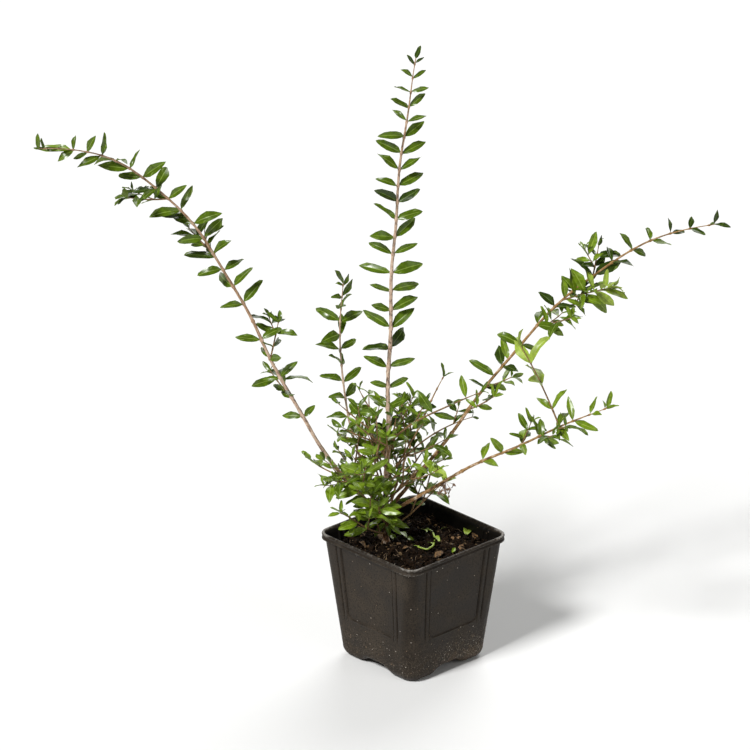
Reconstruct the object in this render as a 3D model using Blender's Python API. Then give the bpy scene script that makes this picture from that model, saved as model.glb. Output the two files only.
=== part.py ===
"""A young box honeysuckle in its square nursery pot, at its real size.

Lengths are in metres and angles in degrees. +Z is up, and the origin is the middle of the pot's underside.
The plant's front faces -Y. The pot stands corner forward, so its four corners lie on the X and Y axes.

The trunk is the foot of the tallest stem. Boughs leave it one above the other, each a single tapering limb,
and end where the leaves begin. Each mass of leaves carries its bough's line on to the tip.
"""

from dataclasses import dataclass, replace
from itertools import product

import bmesh
import bpy
import numpy as np
from mathutils.bvhtree import BVHTree

# Pot
RIM_HALF = 0.045            # half the width across the rolled lip
RIM_CORNER = 0.009          # radius of the lip's corners
POT_TALL = 0.088
LIP_TALL = 0.0036
LIP_PROUD = 0.0018          # how far the lip stands out from the wall
FOOT_HALF = 0.0351          # half the width of the wall near the ground, without the rounded edge
FOOT_CORNER = 0.011
WALL = 0.0012
PANEL_DEEP = 0.0006         # how far the middle of each side is set back
PANEL_ENDS = 0.38           # share of the height below which the panel has faded out
ARCH_TALL = 0.0045          # raised underside in the middle of each side, between the corner feet
POT_TURN = 45.0
EDGE = 0.0075               # radius of the rounded edge under the wall
EDGE_TOP = 0.0093           # height inside at which the straight wall begins
FOOT_EDGE = 0.004           # least corner radius under the pot
FLOOR_ROUND = 0.005         # corner radius of the floor, and how far it keeps in from the wall
UNDER = ((0.82, 1.0), (0.68, 0.8), (0.62, 0.0))     # underside rings: share of its half width, of the arch
RIM_ROUND = 0.0008          # rounding of the lip's edges
OUTER_RINGS = (0.93, 0.66, 0.48, 0.38, 0.20)        # rings of the wall, as shares of the height
INNER_RINGS = (0.48, 0.93)

# Soil
SOIL_LEVEL = 0.079
SOIL_DIPS = 0.0022          # how deep the hollows in its surface are
SOIL_FLAT = 0.010           # radius round the trunk that stays level
SOIL_EDGE = 0.0015          # height over which the surface rounds off at the wall
SOIL_RINGS = (0.985, 0.78, 0.50, 0.22)
SOIL_SEED = 7
GAP = 0.0003                # clearance between pieces that touch
WALL_GAP = 0.00045          # clearance of the soil from the wall, more than GAP as both are faceted

# Plant
TRUNK_FOOT = (-0.018, 0.004)
FLARE = 0.0016              # extra radius of the trunk at ground level
FLARE_TALL = 0.0035
STEPS = 64                  # steps along every woody line
SWAY = 2.5                  # how far a stem's lean swings about its even curve
SWAY_LENGTH = 0.075
LIGHT = np.array([0.0, -0.45, 0.89])

# Leaves
LEAF_SLENDER = 0.42         # width over length
LEAF_THICK = 0.00045        # depth under the middle of the blade
LEAF_FOLD = 0.10            # depth of the fold along the middle over the width
LEAF_CURL = 0.10            # how far the tip bends down over the length
SMALL_LEAF = 0.0130         # a leaf shorter than this has a plainer solid
LEAF_WIDEST = 0.42          # share of the length at which a blade is widest
LEAF_MIDDLE = 0.55          # share of the length at which its rib is deepest
ROOT_SUNK = 0.0002          # how far past the stem's middle a leaf's root reaches
FACING = 0.55               # how far a blade turns into the plane of its pair
DRAWN_IN = 0.22             # how much closer together the pairs are at the tip than at the start
LAST_PAIR = 0.985           # where the last pair sits in the leafy length
JOG = 0.0008                # the two leaves of a pair leave the stem this far apart at most
OVERREACH = 0.008           # a blade may be this much nearer to another shoot than to its own
CLEAR = 0.0006              # least distance kept between a blade and anything that it doesn't grow on

# Joining
CUT_GAP = 0.0004            # clearance of a cut foot from the trunk, more than GAP as both are faceted
CHECK_WELD = 1.2e-6         # a joined surface stays simple when points this near are one
WELDS = (1e-5, 6e-6, 4e-6, 3e-6, 2e-6, 1e-6, 1e-7)


@dataclass(frozen=True)
class Shoot:
    """A woody line and the leaves on it."""

    name: str
    carrier: str = "upright"        # the shoot that it grows from
    at: float = 0.0                 # how far along its carrier it leaves
    heading: float = 0.0            # its way in plan: 0 is +X, 90 is +Y
    turn: float = 0.0               # how far that way turns by the tip
    leans: tuple = (0.0, 0.0, 0.0)  # lean from upright at the foot, the middle and the tip
    length: float = 0.05
    thick: float = 0.002            # diameter at the foot
    thin: float = 0.0011            # diameter at the tip
    bare: float = 0.0               # share of the length that is a bare bough, a node of its own
    start: float = 0.1              # share of the length at which leaves start
    sparse: float = 1.0             # share of the pairs that are there at the start
    pitch: float = 0.010            # distance between leaf pairs
    leaf: float = 0.014             # length of a leaf
    roll: float = 45.0              # turn of the pairs about the stem: 0 is level, 90 is upright
    spread: float = 40.0            # turn from one pair to the next, each way
    twigs: int = 0
    twig: float = 0.02              # length of a side twig
    joins: str = ""                 # the shoot whose mass it is fused into
    seed: int = 1


MAIN_SHOOTS = (
    Shoot("upright", "", 0.0, 0, 21, (2, 2, 11), 0.339, 0.0046, 0.0013, bare=0.22, start=0.24, pitch=0.0115,
          leaf=0.0155, roll=90, spread=16, twigs=0, seed=3),
    Shoot("left", at=0.015, heading=165, turn=47, leans=(52, 26, 85), length=0.375, thick=0.0036, thin=0.0012,
          bare=0.21, start=0.24, sparse=0.55, pitch=0.0125, leaf=0.0170, roll=75, spread=34, twigs=4,
          twig=0.026, seed=11),
    Shoot("right_high", at=0.021, heading=20, turn=-11, leans=(46, 42, 86), length=0.295, thick=0.0033,
          thin=0.0012, bare=0.20, start=0.23, sparse=0.6, pitch=0.0150, leaf=0.0155, roll=60, spread=38,
          twigs=6, twig=0.024, seed=23),
    Shoot("right_low", at=0.018, heading=-28, turn=14, leans=(47, 57, 60), length=0.186, thick=0.0032,
          thin=0.0012, bare=0.36, start=0.38, sparse=0.5, pitch=0.0125, leaf=0.0150, roll=60, spread=38,
          twigs=3, twig=0.020, seed=31),
    Shoot("back", at=0.026, heading=130, turn=3, leans=(59, 13, -6), length=0.159, thick=0.0022, thin=0.0011,
          bare=0.30, start=0.33, sparse=0.8, pitch=0.0105, leaf=0.0140, roll=60, spread=40, seed=43),
    Shoot("back_low", at=0.012, heading=80, turn=-18, leans=(58, 62, 58), length=0.125, thick=0.0022,
          thin=0.0011, bare=0.22, start=0.26, pitch=0.0100, leaf=0.0135, roll=35, spread=40, twigs=3,
          twig=0.020, seed=53),
    Shoot("side_upper", at=0.070, heading=-30, leans=(42, 54, 62), length=0.089, thick=0.0017, thin=0.0011,
          start=0.12, pitch=0.0125, leaf=0.0125, roll=50, spread=40, seed=61),
    Shoot("side_lower", at=0.044, heading=28, turn=-8, leans=(44, 58, 84), length=0.072, thick=0.0016,
          thin=0.0010, start=0.14, pitch=0.0120, leaf=0.0125, roll=50, spread=40, seed=67),
    Shoot("right_low_side", "right_low", at=0.150, heading=150, leans=(22, 32, 38), length=0.058,
          thick=0.0015, thin=0.0010, start=0.2, pitch=0.0105, leaf=0.0140, roll=60, spread=35,
          joins="right_low", seed=71),
    Shoot("rosette", at=0.014, heading=240, turn=20, leans=(66, 50, 30), length=0.030, thick=0.0018,
          thin=0.0012, start=0.26, pitch=0.0046, leaf=0.0190, roll=15, spread=42, seed=79),
)

# Short leafy shoots round the foot: the lowest spread wide, the highest stand up
TUFT_COUNT = 14
TUFT_FIRST = 215.0          # heading of the first
GOLDEN = 137.5
TUFT_LENGTHS = (0.044, 0.066)
TUFT_BACK = 0.012           # extra length of one that faces the back
TUFT_LEANS = (66.0, 30.0)
TUFT_AT = (0.006, 0.060)    # height of their feet up the trunk
TUFT_SEED = 101
TUFT_TURNS = (0, 14, -14, 28, -28, 42, -42)
TUFT_RISES = (0, 0.002, -0.002, 0.004, 0.006, 0.008)
TRUNK_REACH = 0.0018        # distance from the trunk's middle at which another stem has left it


def tuft_shoots():
    """The short shoots: their headings step round the trunk by the golden angle as they climb it."""
    rng = np.random.default_rng(TUFT_SEED)
    shoots = []
    for number in range(TUFT_COUNT):
        climb = number / (TUFT_COUNT - 1)
        heading = TUFT_FIRST + number * GOLDEN + rng.uniform(-9, 9)
        back = (1 + np.sin(np.radians(heading))) / 2
        lean = TUFT_LEANS[0] + (TUFT_LEANS[1] - TUFT_LEANS[0]) * climb
        length = TUFT_LENGTHS[0] + (TUFT_LENGTHS[1] - TUFT_LENGTHS[0]) * climb + TUFT_BACK * back
        shoots.append(Shoot(
            "tuft_%d" % number, at=TUFT_AT[0] + (TUFT_AT[1] - TUFT_AT[0]) * climb, heading=heading,
            turn=rng.uniform(-25, 25), leans=(lean + 8, lean * 0.75, lean * 0.75 + rng.uniform(-12, 20)),
            length=length, thick=0.0017, thin=0.0010, start=0.20, pitch=0.0085, leaf=0.0150,
            roll=30 + rng.uniform(0, 40), spread=42, twigs=3, twig=0.030, seed=TUFT_SEED + number))
    return tuple(shoots)


class Line:
    """The course of a shoot: an evenly turning heading, and a lean that passes through three values."""

    def __init__(self, shoot, start):
        self.shoot = shoot
        middles = (np.arange(STEPS) + 0.5) / STEPS
        steps = self.tangent(middles) * shoot.length / STEPS
        self.points = np.vstack([start, start + np.cumsum(steps, axis=0)])

    def tangent(self, share):
        """The way forward at each share of the length."""
        foot, middle, tip = self.shoot.leans
        lean = foot * (1 - share) * (1 - 2 * share) + middle * 4 * share * (1 - share)
        lean = lean + tip * share * (2 * share - 1)
        waves = self.shoot.length / SWAY_LENGTH
        lean = np.radians(lean + SWAY * np.sin(2 * np.pi * waves * share + self.shoot.seed))
        heading = np.radians(self.shoot.heading + self.shoot.turn * share)
        across = np.sin(lean)
        return np.stack([across * np.cos(heading), across * np.sin(heading), np.cos(lean)], axis=1)

    def level(self, share):
        """The level way square to the stem."""
        heading = np.radians(self.shoot.heading + self.shoot.turn * share)
        return np.stack([np.sin(heading), -np.cos(heading), np.zeros_like(heading)], axis=1)

    def point(self, share):
        """The points on the line at each share of the length."""
        at = np.linspace(0, 1, STEPS + 1)
        return np.stack([np.interp(share, at, self.points[:, k]) for k in range(3)], axis=1)

    def radius(self, share):
        """Half the thickness at each share of the length, drawn in faster near the foot."""
        shoot = self.shoot
        return (shoot.thick + (shoot.thin - shoot.thick) * share ** 0.8) / 2


def unit(vectors):
    """The vectors at length one."""
    return vectors / np.linalg.norm(vectors, axis=-1, keepdims=True)


def column(values):
    """A flat array as one column."""
    return np.asarray(values)[:, None]


@dataclass
class Leaves:
    """Where each leaf of a shoot sits: its foot, its way out, its upper side and its length."""

    foot: np.ndarray
    way: np.ndarray
    face: np.ndarray
    length: np.ndarray

    def pick(self, wanted):
        """The leaves that are wanted."""
        return Leaves(self.foot[wanted], self.way[wanted], self.face[wanted], self.length[wanted])

    def samples(self):
        """Four points of each blade: its middle, its two edges and its tip."""
        across = np.cross(self.face, self.way)
        size = column(self.length)
        wide = across * size * LEAF_SLENDER / 2
        middle = self.foot + self.way * size * 0.55
        return np.stack([middle, middle + wide, middle - wide, self.foot + self.way * size], axis=1)


def pair_shares(shoot):
    """Shares of the length at which leaf pairs sit, a little closer together towards the tip."""
    usable = 1 - shoot.start
    count = max(3, round(usable * shoot.length / shoot.pitch))
    even = np.arange(count) / (count - 1)
    return shoot.start + usable * LAST_PAIR * (even + DRAWN_IN * even * (1 - even)), even


def leaves_of(line):
    """Pairs of leaves up a shoot, each pair turned about it from the last."""
    shoot = line.shoot
    rng = np.random.default_rng(shoot.seed)
    share, even = pair_shares(shoot)
    count = len(share)
    kept = rng.random(count) < shoot.sparse + (1 - shoot.sparse) * np.clip(even / 0.4, 0, 1)
    turned = shoot.roll + shoot.spread * (-1.0) ** np.arange(count) + rng.normal(0, 7, count)
    size = 0.78 + 0.30 * np.sin(np.pi * np.clip(even * 1.05, 0, 1))
    size = size - 0.42 * np.clip((even - 0.82) / 0.18, 0, 1)
    parts = []
    for side in (1.0, -1.0):
        spot = np.clip(share + rng.uniform(-1, 1, count) * JOG / shoot.length, 0, 1)
        tangent, level = line.tangent(spot), line.level(spot)
        upright = np.cross(tangent, level)
        roll = column(np.radians(turned + rng.normal(0, 6, count)))
        out = side * (np.cos(roll) * level + np.sin(roll) * upright)
        angle = column(np.radians(56 - 26 * np.clip((even - 0.7) / 0.3, 0, 1) ** 2 + rng.normal(0, 5, count)))
        way = np.cos(angle) * tangent + np.sin(angle) * out
        plane = np.cross(tangent, out)
        plane = plane * column(np.where(plane @ LIGHT < 0, -1.0, 1.0))
        inner = unit(tangent - way * np.sum(tangent * way, axis=1, keepdims=True))
        face = (1 - FACING) * inner + FACING * plane
        face = unit(face - way * np.sum(face * way, axis=1, keepdims=True))
        length = shoot.leaf * size * rng.uniform(0.86, 1.14, count)
        parts.append(Leaves(line.point(spot), unit(way), face, length).pick(kept))
    return Leaves(*(np.concatenate([getattr(part, field) for part in parts])
                    for field in ("foot", "way", "face", "length")))


def twigs_of(line):
    """Side twigs of a shoot, each leaving it at the foot of a leaf pair and bending upwards."""
    shoot = line.shoot
    if not shoot.twigs:
        return []
    rng = np.random.default_rng(shoot.seed + 1000)
    share, even = pair_shares(shoot)
    places = np.flatnonzero((even < 0.72) & (share > shoot.bare + 0.02))
    chosen = np.sort(rng.choice(places, size=min(shoot.twigs, len(places)), replace=False))
    twigs = []
    for number, place in enumerate(chosen):
        spot = share[place:place + 1]
        tangent, level = line.tangent(spot)[0], line.level(spot)[0]
        roll = np.radians(shoot.roll + rng.uniform(-50, 50))
        side = 1.0 if rng.random() < 0.5 else -1.0
        out = side * (np.cos(roll) * level + np.sin(roll) * np.cross(tangent, level))
        way = unit(0.70 * tangent + 0.71 * out)
        lean = np.degrees(np.arccos(way[2]))
        twigs.append(Line(Shoot(
            "%s_twig_%d" % (shoot.name, number), heading=np.degrees(np.arctan2(way[1], way[0])),
            leans=(lean, lean * 0.88, lean * 0.80), length=shoot.twig * rng.uniform(0.7, 1.15), thick=0.0014,
            thin=0.0010, start=0.3, pitch=0.0075, leaf=shoot.leaf * 0.85, roll=45, spread=42,
            seed=shoot.seed * 10 + number), line.point(spot)[0]))
    return twigs


def tube(points, radii, across, sides):
    """A closed tube round a line; across holds two square ways at each point."""
    turn = 2 * np.pi * np.arange(sides) / sides
    first, second = across
    ring = np.cos(turn)[None, :, None] * first[:, None, :] + np.sin(turn)[None, :, None] * second[:, None, :]
    verts = (points[:, None, :] + radii[:, None, None] * ring).reshape(-1, 3)
    faces = []
    for row in range(len(points) - 1):
        for k in range(sides):
            a, b = row * sides + k, row * sides + (k + 1) % sides
            faces.append((a, b, b + sides, a + sides))
    faces.append(tuple(reversed(range(sides))))
    last = (len(points) - 1) * sides
    faces.append(tuple(last + k for k in range(sides)))
    return verts, faces


def line_tube(line, low, high, rings, sides):
    """The tube of a line between two shares of its length."""
    share = np.linspace(low, high, rings)
    tangent, level = line.tangent(share), line.level(share)
    return tube(line.point(share), line.radius(share), (level, np.cross(tangent, level)), sides)


def trunk_radius(line, share):
    """The trunk's radius, with its flare at the ground."""
    return line.radius(share) + FLARE * np.exp(-share * line.shoot.length / FLARE_TALL)


def in_space(points, own, others):
    """True for each row of points that keeps to the space round its own wood."""
    def nearest(wood):
        return np.linalg.norm(points[:, :, None, :] - wood[None, None, :, :], axis=3).min(axis=2)

    return np.all(nearest(own) < nearest(others) + OVERREACH, axis=1)


def leaf_solid(foot, way, face, length, start=0.0, grow=0.0):
    """A leaf of eight triangles from a sunk root, folded along the middle; a small one is flat and has six.

    start moves its root up the blade and grow makes it larger all round, for testing what it would touch.
    """
    across = np.cross(face, way)
    wide = length * LEAF_SLENDER / 2 + grow
    small = length < SMALL_LEAF
    rise = 0.0 if small else length * LEAF_SLENDER * LEAF_FOLD

    def spot(along, side, height):
        return foot + way * along + across * side + face * height

    root, left, right, tip, keel, rib = range(6)
    verts = [
        spot(start * length - ROOT_SUNK, 0, 0),
        spot(LEAF_WIDEST * length, wide, rise),
        spot(LEAF_WIDEST * length, -wide, rise),
        spot(length + grow, 0, -LEAF_CURL * length),
        spot(LEAF_MIDDLE * length, 0, -LEAF_THICK - grow),
    ]
    faces = [(root, keel, left), (keel, tip, left), (root, right, keel), (keel, right, tip)]
    if small:
        faces += [(root, left, right), (left, tip, right)]
    else:
        verts.append(spot(LEAF_MIDDLE * length, 0, grow))
        faces += [(root, left, rib), (left, tip, rib), (tip, right, rib), (right, root, rib)]
    return np.array(verts), faces


def mesh_object(name, verts, faces):
    """An object from points and faces, with its faces turned outwards."""
    mesh = bpy.data.meshes.new(name)
    mesh.from_pydata([tuple(map(float, vert)) for vert in verts], [], faces)
    shape = bmesh.new()
    shape.from_mesh(mesh)
    bmesh.ops.recalc_face_normals(shape, faces=shape.faces)
    shape.to_mesh(mesh)
    shape.free()
    made = bpy.data.objects.new(name, mesh)
    bpy.context.scene.collection.objects.link(made)
    return made


def tree_of(verts, faces):
    """A search tree over a shape."""
    return BVHTree.FromPolygons([tuple(map(float, vert)) for vert in verts], faces)


def object_tree(made):
    """A search tree over an object's mesh."""
    mesh = made.data
    return tree_of([vert.co for vert in mesh.vertices], [tuple(face.vertices) for face in mesh.polygons])


def remove(made):
    """Take an object and its mesh out of the file."""
    mesh = made.data
    bpy.data.objects.remove(made)
    bpy.data.meshes.remove(mesh)


def apply_boolean(made, operation, operands, solver):
    """Cut or join a list of objects into an object, apply it, and remove them."""
    group = bpy.data.collections.new("operands")
    bpy.context.scene.collection.children.link(group)
    for operand in operands:
        for holder in list(operand.users_collection):
            holder.objects.unlink(operand)
        group.objects.link(operand)
    boolean = made.modifiers.new("join", "BOOLEAN")
    boolean.operation = operation
    boolean.operand_type = "COLLECTION"
    boolean.collection = group
    boolean.solver = solver
    bpy.context.view_layer.update()
    evaluated = made.evaluated_get(bpy.context.evaluated_depsgraph_get())
    mesh = bpy.data.meshes.new_from_object(evaluated)
    made.modifiers.clear()
    old = made.data
    made.data = mesh
    bpy.data.meshes.remove(old)
    for operand in list(group.objects):
        remove(operand)
    bpy.data.collections.remove(group)


def faults(shape, dist=0.0):
    """How many edges and points of a mesh aren't closed and simple, once points nearer than dist are one."""
    copy = shape.copy()
    if dist:
        bmesh.ops.remove_doubles(copy, verts=copy.verts, dist=dist)
        bmesh.ops.dissolve_degenerate(copy, edges=copy.edges, dist=dist)
    count = sum(not part.is_manifold for part in [*copy.edges, *copy.verts])
    copy.free()
    return count


def drop_scraps(shape):
    """Delete every body of a mesh but its largest."""
    left = set(shape.verts)
    bodies = []
    while left:
        reach = [left.pop()]
        body = set(reach)
        while reach:
            for edge in reach.pop().link_edges:
                for vert in edge.verts:
                    if vert in left:
                        left.discard(vert)
                        body.add(vert)
                        reach.append(vert)
        bodies.append(body)
    bodies.sort(key=len, reverse=True)
    bmesh.ops.delete(shape, geom=[vert for body in bodies[1:] for vert in body], context="VERTS")


def tidy(made):
    """Weld an object's stray points, keep its largest body and split its faces into triangles.

    The widest weld and the first way of splitting that leave a closed, simple surface are used. False where
    none of them does.
    """
    for dist, ngons, quads in product(WELDS, ("BEAUTY", "EAR_CLIP"), ("BEAUTY", "SHORT_EDGE", "LONG_EDGE")):
        shape = bmesh.new()
        shape.from_mesh(made.data)
        bmesh.ops.remove_doubles(shape, verts=shape.verts, dist=dist)
        bmesh.ops.dissolve_degenerate(shape, edges=shape.edges, dist=dist)
        drop_scraps(shape)
        bmesh.ops.triangulate(shape, faces=shape.faces, quad_method=quads, ngon_method=ngons)
        sound = not faults(shape) and not faults(shape, CHECK_WELD)
        if sound:
            shape.to_mesh(made.data)
        shape.free()
        if sound:
            return True
    return False


def material(name, colour, roughness):
    """A plain Principled finish."""
    made = bpy.data.materials.new(name)
    made.use_nodes = True
    shader = made.node_tree.nodes["Principled BSDF"]
    shader.inputs["Base Color"].default_value = (*colour, 1.0)
    shader.inputs["Roughness"].default_value = roughness
    shader.inputs["Metallic"].default_value = 0.0
    return made


class Outline:
    """A rounded square as columns: each has a place on an inner square and a way out from it."""

    ARC = 4                                     # steps round each corner
    SIDE = (-0.64, -0.52, -0.46, 0.46, 0.52, 0.64)

    def __init__(self):
        place, out, along = [], [], []
        for corner in range(4):
            start = np.pi / 2 * corner
            square = np.sqrt(2) * np.array([np.cos(start + np.pi / 4), np.sin(start + np.pi / 4)])
            for step in range(self.ARC + 1):
                turn = start + np.pi / 2 * step / self.ARC
                place.append(square)
                out.append((np.cos(turn), np.sin(turn)))
                along.append(1.0)
            normal = np.array([np.cos(start + np.pi / 2), np.sin(start + np.pi / 2)])
            tangent = np.array([-normal[1], normal[0]])
            for part in self.SIDE:
                place.append(normal + tangent * part)
                out.append(normal)
                along.append(abs(part))
        self.place, self.out, self.along = np.array(place), np.array(out), np.array(along)

    def ring(self, half, corner, height, recess=0.0, arch=0.0):
        """One ring of points; recess sets the middle of each side back and arch lifts it."""
        spread = np.clip((0.52 - self.along) / 0.06, 0, 1)
        flat = self.place * (half - corner) + self.out * corner - self.out * column(recess * spread)
        lift = arch * np.clip((0.64 - self.along) / 0.16, 0, 1)
        turn = np.radians(POT_TURN)
        spun = flat @ np.array([[np.cos(turn), np.sin(turn)], [-np.sin(turn), np.cos(turn)]])
        return np.column_stack([spun, height + lift])


def ring_solid(rings, first, last):
    """A closed solid through rings of points, from one middle point to another."""
    columns = len(rings[0])
    verts = [*np.concatenate(rings), first, last]
    faces = []
    for row in range(len(rings) - 1):
        for k in range(columns):
            a, b = row * columns + k, row * columns + (k + 1) % columns
            faces.append((a, b, b + columns, a + columns))
    top, bottom = len(verts) - 2, len(verts) - 1
    start = (len(rings) - 1) * columns
    for k in range(columns):
        faces.append(((k + 1) % columns, k, top))
        faces.append((start + k, start + (k + 1) % columns, bottom))
    return verts, faces


def wall_half(height):
    """Half the width of the wall's outer face at a height, without the lip."""
    share = height / POT_TALL
    return FOOT_HALF + (RIM_HALF - LIP_PROUD - FOOT_HALF) * share


def wall_corner(height):
    """The corner radius of the wall at a height."""
    return FOOT_CORNER + (RIM_CORNER - LIP_PROUD - FOOT_CORNER) * height / POT_TALL


def recess_at(height):
    """How far the middle of a side is set back: most at the top, none below the faint step."""
    return PANEL_DEEP * np.clip((height / POT_TALL - PANEL_ENDS) / 0.1, 0, 1)


def outer_profile():
    """Half width, corner radius, height, recess and arch of each outer ring, from the lip down."""
    wall_top = POT_TALL - LIP_TALL
    rows = [
        (RIM_HALF - RIM_ROUND, RIM_CORNER, POT_TALL, 0, 0),
        (RIM_HALF, RIM_CORNER, POT_TALL - RIM_ROUND, 0, 0),
        (RIM_HALF, RIM_CORNER, wall_top + RIM_ROUND, 0, 0),
        (wall_half(wall_top), wall_corner(wall_top), wall_top, 0, 0),
    ]
    for share in OUTER_RINGS:
        height = share * POT_TALL
        rows.append((wall_half(height), wall_corner(height), height, recess_at(height), 0))
    for turn in (0, 30, 60, 90):
        swing = np.radians(turn)
        height = EDGE * (1 - np.sin(swing))
        half = wall_half(EDGE) - EDGE * (1 - np.cos(swing))
        lift = ARCH_TALL * (0.35 + 0.65 * turn / 90)
        rows.append((half, max(wall_corner(EDGE) - EDGE * (1 - np.cos(swing)), FOOT_EDGE), height, 0, lift))
    return rows


def underside(height):
    """Rings under the pot, or over its floor, from outside in; the arches fade out towards the middle."""
    half = outer_profile()[-1][0]
    return [(half * share, FOOT_EDGE * share, height, 0, ARCH_TALL * lift) for share, lift in UNDER]


def inner_profile():
    """The rings inside the pot, from the floor up."""
    rows = underside(WALL)[::-1]
    rows.append((FOOT_HALF - WALL - FLOOR_ROUND, FLOOR_ROUND, WALL, 0, ARCH_TALL))
    rows.append((wall_half(EDGE) - WALL, wall_corner(EDGE) - WALL, EDGE_TOP, 0, 0))
    for share in INNER_RINGS:
        height = share * POT_TALL
        rows.append((wall_half(height) - WALL - recess_at(height), wall_corner(height) - WALL, height, 0, 0))
    rows.append((RIM_HALF - LIP_PROUD - WALL, RIM_CORNER - LIP_PROUD - WALL, POT_TALL, 0, 0))
    return rows


def pot_object(outline):
    """The pot: lip, tapering wall with set back panels, rounded edge, corner feet and an open inside."""
    outer = outer_profile() + underside(0.0)
    rings = [outline.ring(*row) for row in outer + inner_profile()]
    columns = len(rings[0])
    verts = [*np.concatenate(rings), (0, 0, 0), (0, 0, WALL)]
    below, above = len(verts) - 2, len(verts) - 1
    faces = []
    for row in range(len(rings)):
        after = (row + 1) % len(rings)
        for k in range(columns):
            a, b = row * columns + k, row * columns + (k + 1) % columns
            c, d = after * columns + (k + 1) % columns, after * columns + k
            if row == len(outer) - 1:
                faces.append((a, b, below))
                faces.append((d, c, above))
            else:
                faces.append((a, b, c, d))
    return mesh_object("pot", verts, faces)


def soil_object(outline):
    """The root ball: it stands on the arches in the pot's floor and fills it up to just under the lip."""
    bottom = WALL + ARCH_TALL + GAP
    rows = [(FOOT_HALF - WALL - FLOOR_ROUND - WALL_GAP, FLOOR_ROUND, bottom, 0, 0)]
    for height in (EDGE_TOP + SOIL_EDGE, INNER_RINGS[0] * POT_TALL, SOIL_LEVEL - SOIL_EDGE):
        half = wall_half(height) - WALL - recess_at(height) - WALL_GAP
        rows.append((half, wall_corner(height) - WALL - GAP, height, 0, 0))
    rings = [outline.ring(*row) for row in rows]
    rim = wall_half(SOIL_LEVEL) - WALL - recess_at(SOIL_LEVEL) - WALL_GAP
    rng = np.random.default_rng(SOIL_SEED)
    for share in SOIL_RINGS:
        ring = outline.ring(rim * share, wall_corner(SOIL_LEVEL) * share, SOIL_LEVEL)
        away = np.linalg.norm(ring[:, :2] - np.array(TRUNK_FOOT), axis=1)
        dips = SOIL_DIPS * share * rng.uniform(0, 1, len(ring))
        ring[:, 2] -= dips * np.clip((away - SOIL_FLAT) / SOIL_FLAT, 0, 1)
        rings.append(ring)
    return mesh_object("soil", *ring_solid(rings, (0, 0, bottom), (0, 0, SOIL_LEVEL)))


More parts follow.
